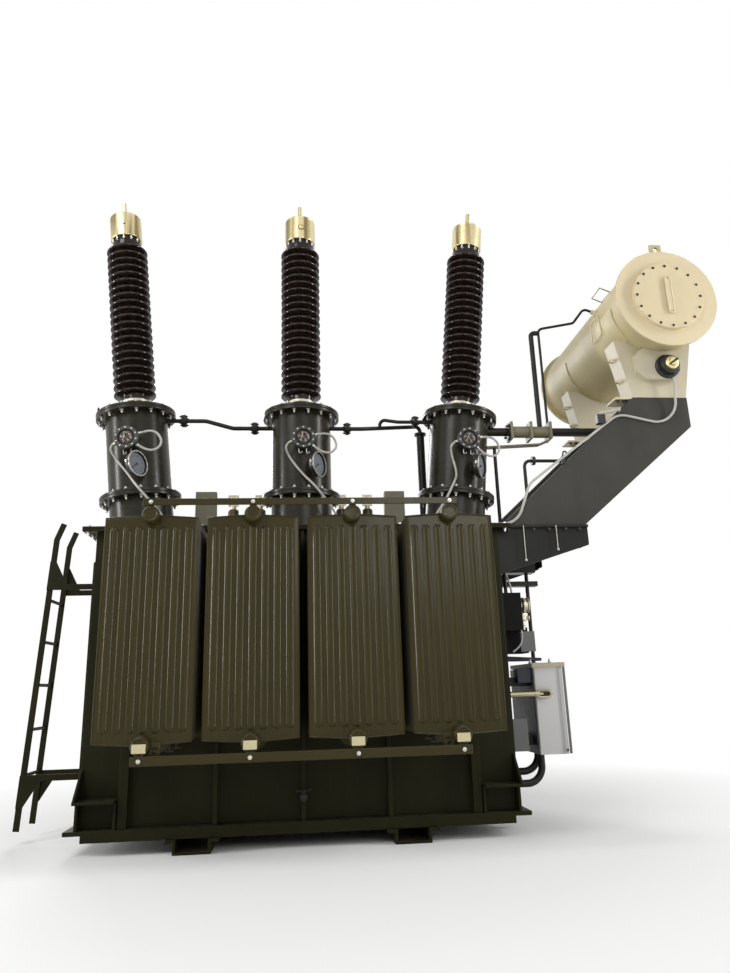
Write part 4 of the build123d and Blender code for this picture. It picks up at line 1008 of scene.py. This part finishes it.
def on_drum(degrees, y, rise=0.0):
    """A point on the conservator's shell, at an angle from +X and a height above the plate."""
    turn = radians(degrees)
    reach = drum_radius + rise
    return Vector((drum_x + reach * cos(turn), y, drum_z + reach * sin(turn)))


def drum_pad(piece, start, end, y_low, y_high, thickness):
    """A plate bent to the shell between two angles."""
    steps = 8
    points = []
    faces = []
    for step in range(steps + 1):
        degrees = start + (end - start) * step / steps
        for y, rise in ((y_low, 0), (y_high, 0), (y_high, thickness), (y_low, thickness)):
            points.append(on_drum(degrees, y, rise))
    for step in range(steps):
        for side in range(4):
            first, second = step * 4 + side, step * 4 + (side + 1) % 4
            faces.append([first, second, second + 4, first + 4])
    faces += [[0, 1, 2, 3], [steps * 4 + side for side in range(4)]]
    piece.add(points, faces)


trim = Piece("conservator_trim", "conservator_paint")
# The pads take the shell's darker copy of the conservator's paint: painted shade.
pads = Piece("conservator_pads", "conservator_paint", "shaded_shell_paint")
cover_bolts = Piece("access_cover_bolts", "ring_metal", "dark_steel")
handles = Piece("conservator_handles", "ring_metal", "dull_zinc")
access_cover = facing((drum_x, cover_face, drum_z), to_front)
cover_bolts.bolt_circle(access_cover, cover_circle, 16, 0.0082)
grip = ((-0.02, -0.125), (-0.02, 0.125), (-0.012, 0.146), (0.012, 0.146), (0.02, 0.125), (0.02, -0.125),
        (0.012, -0.146), (-0.012, -0.146))
trim.wire([(x, z, 0.012) for x, z in grip], 0.006, True, place=access_cover)
handles.wire([on_drum(142, -0.31), on_drum(145, -0.31, 0.085), on_drum(145, -0.47, 0.085),
              on_drum(142, -0.47)], 0.005, True, 2)
side_frame = ((172, -0.4), (172, -0.26), (197, -0.22), (197, -0.4))
trim.wire([on_drum(degrees, y, 0.02) for degrees, y in side_frame], 0.005, True, 2)
trim.lathe([(0.032, 0), (0.032, 0.012), (0.018, 0.014), (0.018, 0.04), (0.0105, 0.042)],
           facing(on_drum(157, turret_y), (cos(entry_turn), 0, sin(entry_turn))), 24)
for side in (-1, 1):
    y_low, y_high = sorted((side * 0.36, side * 0.6))
    drum_pad(pads, 180, 226, y_low, y_high, pad_thickness)
    drum_pad(pads, -46, 0, y_low, y_high, pad_thickness)
    y = side * 0.48
    for z in (3.06, 3.23):
        x = saddle_edge - saddle_lean * (z - saddle_foot)
        trim.wire([(x + 0.01, y - 0.03, z), (x - 0.04, y - 0.03, z + 0.005), (x - 0.04, y + 0.03, z + 0.005),
                   (x + 0.01, y + 0.03, z)], 0.007)
    trim.box((2.3, y - 0.08, saddle_foot - foot_plate), (2.434, y + 0.08, saddle_foot))
    for x in (2.33, 2.38):
        cover_bolts.bolt(facing((x, y - 0.05, saddle_foot - foot_plate), downward), 0.012, 0.03)
for piece in (pads, trim, cover_bolts, handles):
    piece.finish()

gauge = Piece("oil_gauge_finish", "black_casing")
gauge_face = Piece("oil_gauge_face", "brass_fittings", "gauge_brass")
gauge_place = facing((2.705, -0.61, 3.13), to_front)
gauge.lathe([(0.092, 0), (0.092, 0.02), (0.086, 0.024), (0.07, 0.024), (0.07, 0.06), (0.066, 0.064),
             (0, 0.064)], gauge_place)
gauge_face.lathe([(0.05, 0.064), (0.05, 0.082), (0.046, 0.088), (0.03, 0.09), (0.028, 0.103), (0, 0.103)],
                 gauge_place, 40)
gauge.prism([(-0.034, -0.007), (0.046, -0.01), (0.046, 0.01), (-0.034, 0.007)], 0.008,
            raised(gauge_place, 0.096) @ spin(35))
gauge.bolt_circle(raised(gauge_place, 0.024), 0.08, 8, 0.007, start=pi / 8)
gauge.finish("oil_gauge")
gauge_face.finish()

# Bracket: conduit box on the slope, a hook, a pipe's flange, bolts, and the pale edges of the shelf ribs
hook_y = -0.565
slope_box = Piece("slope_conduit_box", "black_casing")
slope_box.box((2.13, -0.6, 2.69), (2.19, -0.545, 2.76), 0.004)
slope_box.box((1.84, -0.575, 2.395), (1.865, -0.55, 2.45))
slope_box.wire([(x, hook_y, z) for x, z in ((1.853, 2.445), (1.853, 2.485), (1.885, 2.485), (1.885, 2.455))],
               0.006)
slope_box.lathe([(0.0125, 0), (0.032, 0), (0.032, 0.011), (0.027, 0.012), (0.032, 0.013), (0.032, 0.024),
                 (0.0125, 0.024)], facing((1.66, -0.45, 2.45), to_right), 28, 0.001)
slope_box.finish()
slope_tube = Piece("slope_conduit_tube", "grey_conduit")
slope_tube.lathe([(0.014, 0), (0.014, 0.13), (0.018, 0.132), (0.018, 0.15), (0, 0.15)],
                 facing((2.16, -0.59, 2.77), (0.97, 0, 0.2)), 20)
slope_tube.finish()
shelf_face = 0.58
shelf_top = 1.962
foot_bolts_y = 0.52
foot_nuts_z = 1.916
rib_top = 1.945
rib_edge = 0.003
edges = Piece("shelf_rib_edges", "bracket_paint", "dull_zinc")
shelf_bolts = Piece("bracket_foot_bolts", "ring_metal", "dull_zinc")
shelf_nuts = Piece("bracket_foot_nuts", "ring_metal", "dark_steel")
for side in (-1, 1):
    y = side * (shelf_face - rib_edge / 2)
    for x, z in ((1.515, 1.7), (1.746, 1.772)):
        edges.box((x - rib_edge, y - rib_edge, z), (x + rib_edge, y + rib_edge, rib_top), 0.001)
        edges.bolt(facing((x, side * shelf_face, z + 0.004), (0, side, 0)), 0.008)
    for x in (1.42, 1.6, 1.7, 1.81, 1.9):
        shelf_bolts.bolt(facing((x, side * foot_bolts_y, shelf_top), upward), 0.013, 0.022)
    for x in (1.407, 1.587, 1.695, 1.811, 1.912):
        shelf_nuts.bolt(facing((x, side * shelf_face, foot_nuts_z), (0, side, 0)), 0.009, 0.016)
for piece in (edges, shelf_bolts, shelf_nuts):
    piece.finish()

# Right end: dial and cock on the relay box, leads, conduit with its oval fitting and a dark oval of painted
# shade on it, plates, cabinet trim, and dark plates by the cabinet, one of them painted shade on its side
instrument = Piece("wall_instrument_finish", "brass_fittings", "pale_brass")
instrument.lathe([(0.03, 0), (0.03, 0.016), (0.052, 0.018), (0.056, 0.024), (0.056, 0.034), (0.05, 0.038),
                  (0.05, 0.052), (0.056, 0.056), (0.056, 0.064), (0.05, 0.066), (0.044, 0.062), (0, 0.062)],
                 facing((1.53, -0.275, 1.43), to_right), 48, 0.0015)
instrument.finish("wall_instrument")
cock = Piece("instrument_cock", "brass_fittings", "pale_brass")
cock.lathe([(0.016, 0), (0.026, 0.008), (0.026, 0.05), (0.018, 0.06), (0.018, 0.09), (0.012, 0.094),
            (0.012, 0.12), (0, 0.12)], facing((1.545, -0.3, 1.378), downward), 28)
cock.lathe([(0.009, 0), (0.009, 0.03), (0.02, 0.032), (0.02, 0.04), (0, 0.04)],
           facing((1.548, -0.3, 1.34), to_right), 20)
cock.finish()
add_plates("end_wall_covers", "cabinet_paint", "cover_grey",
           ((1.5, -0.346, 1.108), (1.603, -0.341, 1.245), 0.0015),
           ((1.33, -0.345, 0.462), (1.5, -0.335, 0.668), edge_round),
           ((1.39, -0.4, 0.1), (1.436, -0.34, 0.116), 0.005))
leads = Piece("end_wall_leads", "grey_conduit")
leads.wire([(1.425, -0.335, 1.73), (1.43, -0.335, 1.66), (1.455, -0.335, 1.6), (1.47, -0.33, 1.515)], 0.007)
leads.wire([(1.51, -0.35, 1.255), (1.515, -0.352, 1.2), (1.49, -0.352, 1.14), (1.44, -0.35, 1.108)], 0.006)
leads.finish()
side_z = 0.826
side_run = Piece("side_conduit_finish", "yellow_zinc")
side_run.lathe([(0.0195, 0), (0.0195, 0.24), (0.0218, 0.242), (0.0218, 0.258), (0.0195, 0.26), (0.0195, 0.3),
                (0, 0.3)], facing((1.33, -0.3223, side_z), to_right), 28)
oval = [(0.03 * copysign(1, point.x) + point.x, point.y) for point in around(0.026, 24, pi / 24)]
fitting = facing((1.64, -0.308, side_z), to_front)
side_run.prism(oval, 0.03, fitting, 0.002)
side_run.finish("side_conduit")
# A dark oval on the fitting's face: painted shade standing for a recess in it.
oval_shade = Piece("side_conduit_oval_shade", "pipe_paint")
oval_shade.prism([(x * 0.72, y * 0.6) for x, y in oval], 0.003, raised(fitting, 0.0295), 0.0005)
oval_shade.finish()
add_plates("cabinet_lip", "cabinet_paint", "lip_paint",
           ((1.572, -0.319, 1.003), (1.806, -0.315, 1.032), 0.001))
add_plates("cabinet_edge_strip", "cabinet_paint", "cover_grey",
           ((1.784, -0.3185, 0.436), (1.803, -0.3155, 1.0), 0.001),
           ((1.576, -0.3185, 0.436), (1.582, -0.3155, 1.0), 0.001))
side_plates_and_shade = Piece("cabinet_side_plates_and_shade", "pipe_paint", "blue_black")
# A thin plate over the cabinet's side toward the tank: its dark colour is painted shade where that side lies
# in shadow, and partly a dark mounting frame.
side_plates_and_shade.box((1.569, -0.308, 0.44), (1.5738, 0.208, 0.996))
side_plates_and_shade.box((1.47, -0.3, 0.9), (1.568, -0.215, 0.995))
side_plates_and_shade.prism([(1.42, 1.088), (1.7, 1.07), (1.7, 1.05), (1.42, 1.05)], 0.06,
              Matrix.Translation((0, -0.1, 0)) @ spin(90, "X"))
side_plates_and_shade.lathe([(0.008, 0), (0.008, 0.006), (0.004, 0.007), (0, 0.007)],
              facing((1.772, -0.316, 0.458), to_front), 20)
side_plates_and_shade.finish()
clamps = Piece("cabinet_clamps", "ring_metal", "dull_zinc")
for x, y in ((1.6, -0.2), (1.66, -0.12), (1.74, -0.2)):
    clamps.bolt(facing((x, y, 1.03), upward), 0.012, 0.03)
clamps.finish()

# Drain valve on the front wall
valve = Piece("drain_valve_finish", "pipe_paint")
valve_low, valve_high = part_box("drain_valve")
valve_z = (valve_low.z + valve_high.z) / 2
stem_y = valve_high.y - 0.024
valve.lathe([(0.014, 0), (0.014, 0.012), (0.022, 0.014), (0.022, 0.034), (0.016, 0.038), (0.016, 0.06),
             (0.02, 0.062), (0.02, 0.07), (0, 0.07)], facing((0, valve_high.y, valve_z), to_front), 28)
valve.lathe([(0.007, 0), (0.007, 0.03), (0, 0.03)], facing((0, stem_y, valve_z + 0.003), upward), 16)
valve.wire([(x, stem_y, valve_z + rise) for x, rise in ((-0.045, 0.034), (0, 0.03), (0.045, 0.04))], 0.006)
valve.finish("drain_valve")


# Stage: pale floor, soft lamps, camera
floor_radius = 60
fade_start = 2.2
fade_end = 4.6


def seen_ray(tree):
    """1 for what the eye sees, straight, in gloss or through glass, and 0 for light that falls on things."""
    path = add_node(tree, "ShaderNodeLightPath", {})
    seen = path.outputs["Is Camera Ray"]
    for ray in ("Is Glossy Ray", "Is Transmission Ray"):
        seen = calculate(tree, "MAXIMUM", seen, path.outputs[ray])
    return seen


def white_at_distance(name):
    """A pale floor that keeps its shadows near the object and runs out into the white of the background."""
    material, tree, shader, coords = new_material(name)
    feed(tree, shader, {"Base Color": (0.86, 0.86, 0.85, 1), "Roughness": 0.9, "Specular IOR Level": 0.1})
    distance = add_node(tree, "ShaderNodeVectorMath", {0: coords}, operation="LENGTH").outputs["Value"]
    far = spread(tree, distance, 0, 1, fade_start, fade_end)
    glow = add_node(tree, "ShaderNodeEmission", {}).outputs["Emission"]
    share = calculate(tree, "MULTIPLY", far, seen_ray(tree))
    mix = add_node(tree, "ShaderNodeMixShader", {0: share, 1: shader.outputs["BSDF"], 2: glow})
    feed(tree, tree.nodes["Material Output"], {"Surface": mix.outputs["Shader"]})
    return material


def add_floor():
    """A wide disc on the ground."""
    shape = bmesh.new()
    bmesh.ops.create_circle(shape, cap_ends=True, radius=floor_radius, segments=96)
    mesh = bpy.data.meshes.new("floor")
    shape.to_mesh(mesh)
    shape.free()
    mesh.materials.append(white_at_distance("floor"))
    floor = bpy.data.objects.new("floor", mesh)
    bpy.context.scene.collection.objects.link(floor)


def add_lamp(name, place, target, size, energy):
    """A soft rectangular lamp turned toward a point of the object."""
    data = bpy.data.lights.new(name, "AREA")
    data.shape = "RECTANGLE"
    data.size, data.size_y = size
    data.energy = energy
    lamp = bpy.data.objects.new(name, data)
    direction = Vector(target) - Vector(place)
    lamp.matrix_world = Matrix.Translation(place) @ direction.to_track_quat("-Z", "Y").to_matrix().to_4x4()
    bpy.context.scene.collection.objects.link(lamp)


def set_world(fill):
    """A soft fill from all sides, and a white background for what the eye, gloss and glass see."""
    world = bpy.data.worlds.new("studio")
    bpy.context.scene.world = world
    world.use_nodes = True
    tree = world.node_tree
    strength = spread(tree, seen_ray(tree), fill, 1, 0, 1)
    feed(tree, tree.nodes["Background"], {"Color": (1, 1, 1, 1), "Strength": strength})


def add_camera():
    """The photograph's camera."""
    sine, cosine = sin(camera_pitch), cos(camera_pitch)
    ahead = Vector((sin(camera_yaw) * cosine, cos(camera_yaw) * cosine, sine))
    level = Vector((cos(camera_yaw), -sin(camera_yaw), 0))
    above = level.cross(ahead)
    right = level * cos(camera_roll) + above * sin(camera_roll)
    up = above * cos(camera_roll) - level * sin(camera_roll)
    data = bpy.data.cameras.new("camera")
    data.sensor_width = sensor
    data.lens = sensor * focal_pixels / image_height
    data.clip_end = 200
    camera = bpy.data.objects.new("camera", data)
    camera.matrix_world = Matrix.Translation(camera_place) @ Matrix((right, up, -ahead)).transposed().to_4x4()
    bpy.context.scene.collection.objects.link(camera)
    bpy.context.scene.camera = camera


add_floor()
set_world(0.33)
add_lamp("key", (-5.5, -7.5, 8.0), (0.3, 0, 2.0), (4.0, 4.0), 430)
add_lamp("left_strip", (-9.0, -2.2, 3.0), (-0.3, -1.0, 1.4), (0.7, 4.0), 520)
add_lamp("right_strip", (8.5, -3.0, 5.4), (0.4, -0.3, 2.5), (1.4, 3.2), 330)
add_lamp("right_low", (8.5, -3.2, 1.6), (0.0, -1.0, 1.2), (0.6, 3.5), 170)
add_lamp("front_fill", (2.5, -8.5, 4.0), (0.4, 0, 2.2), (3.0, 3.0), 120)
add_lamp("back_fill", (-3.0, 8.5, 6.5), (0.3, 0, 2.0), (4.0, 4.0), 380)
add_camera()
bpy.context.scene.view_settings.view_transform = "Standard"
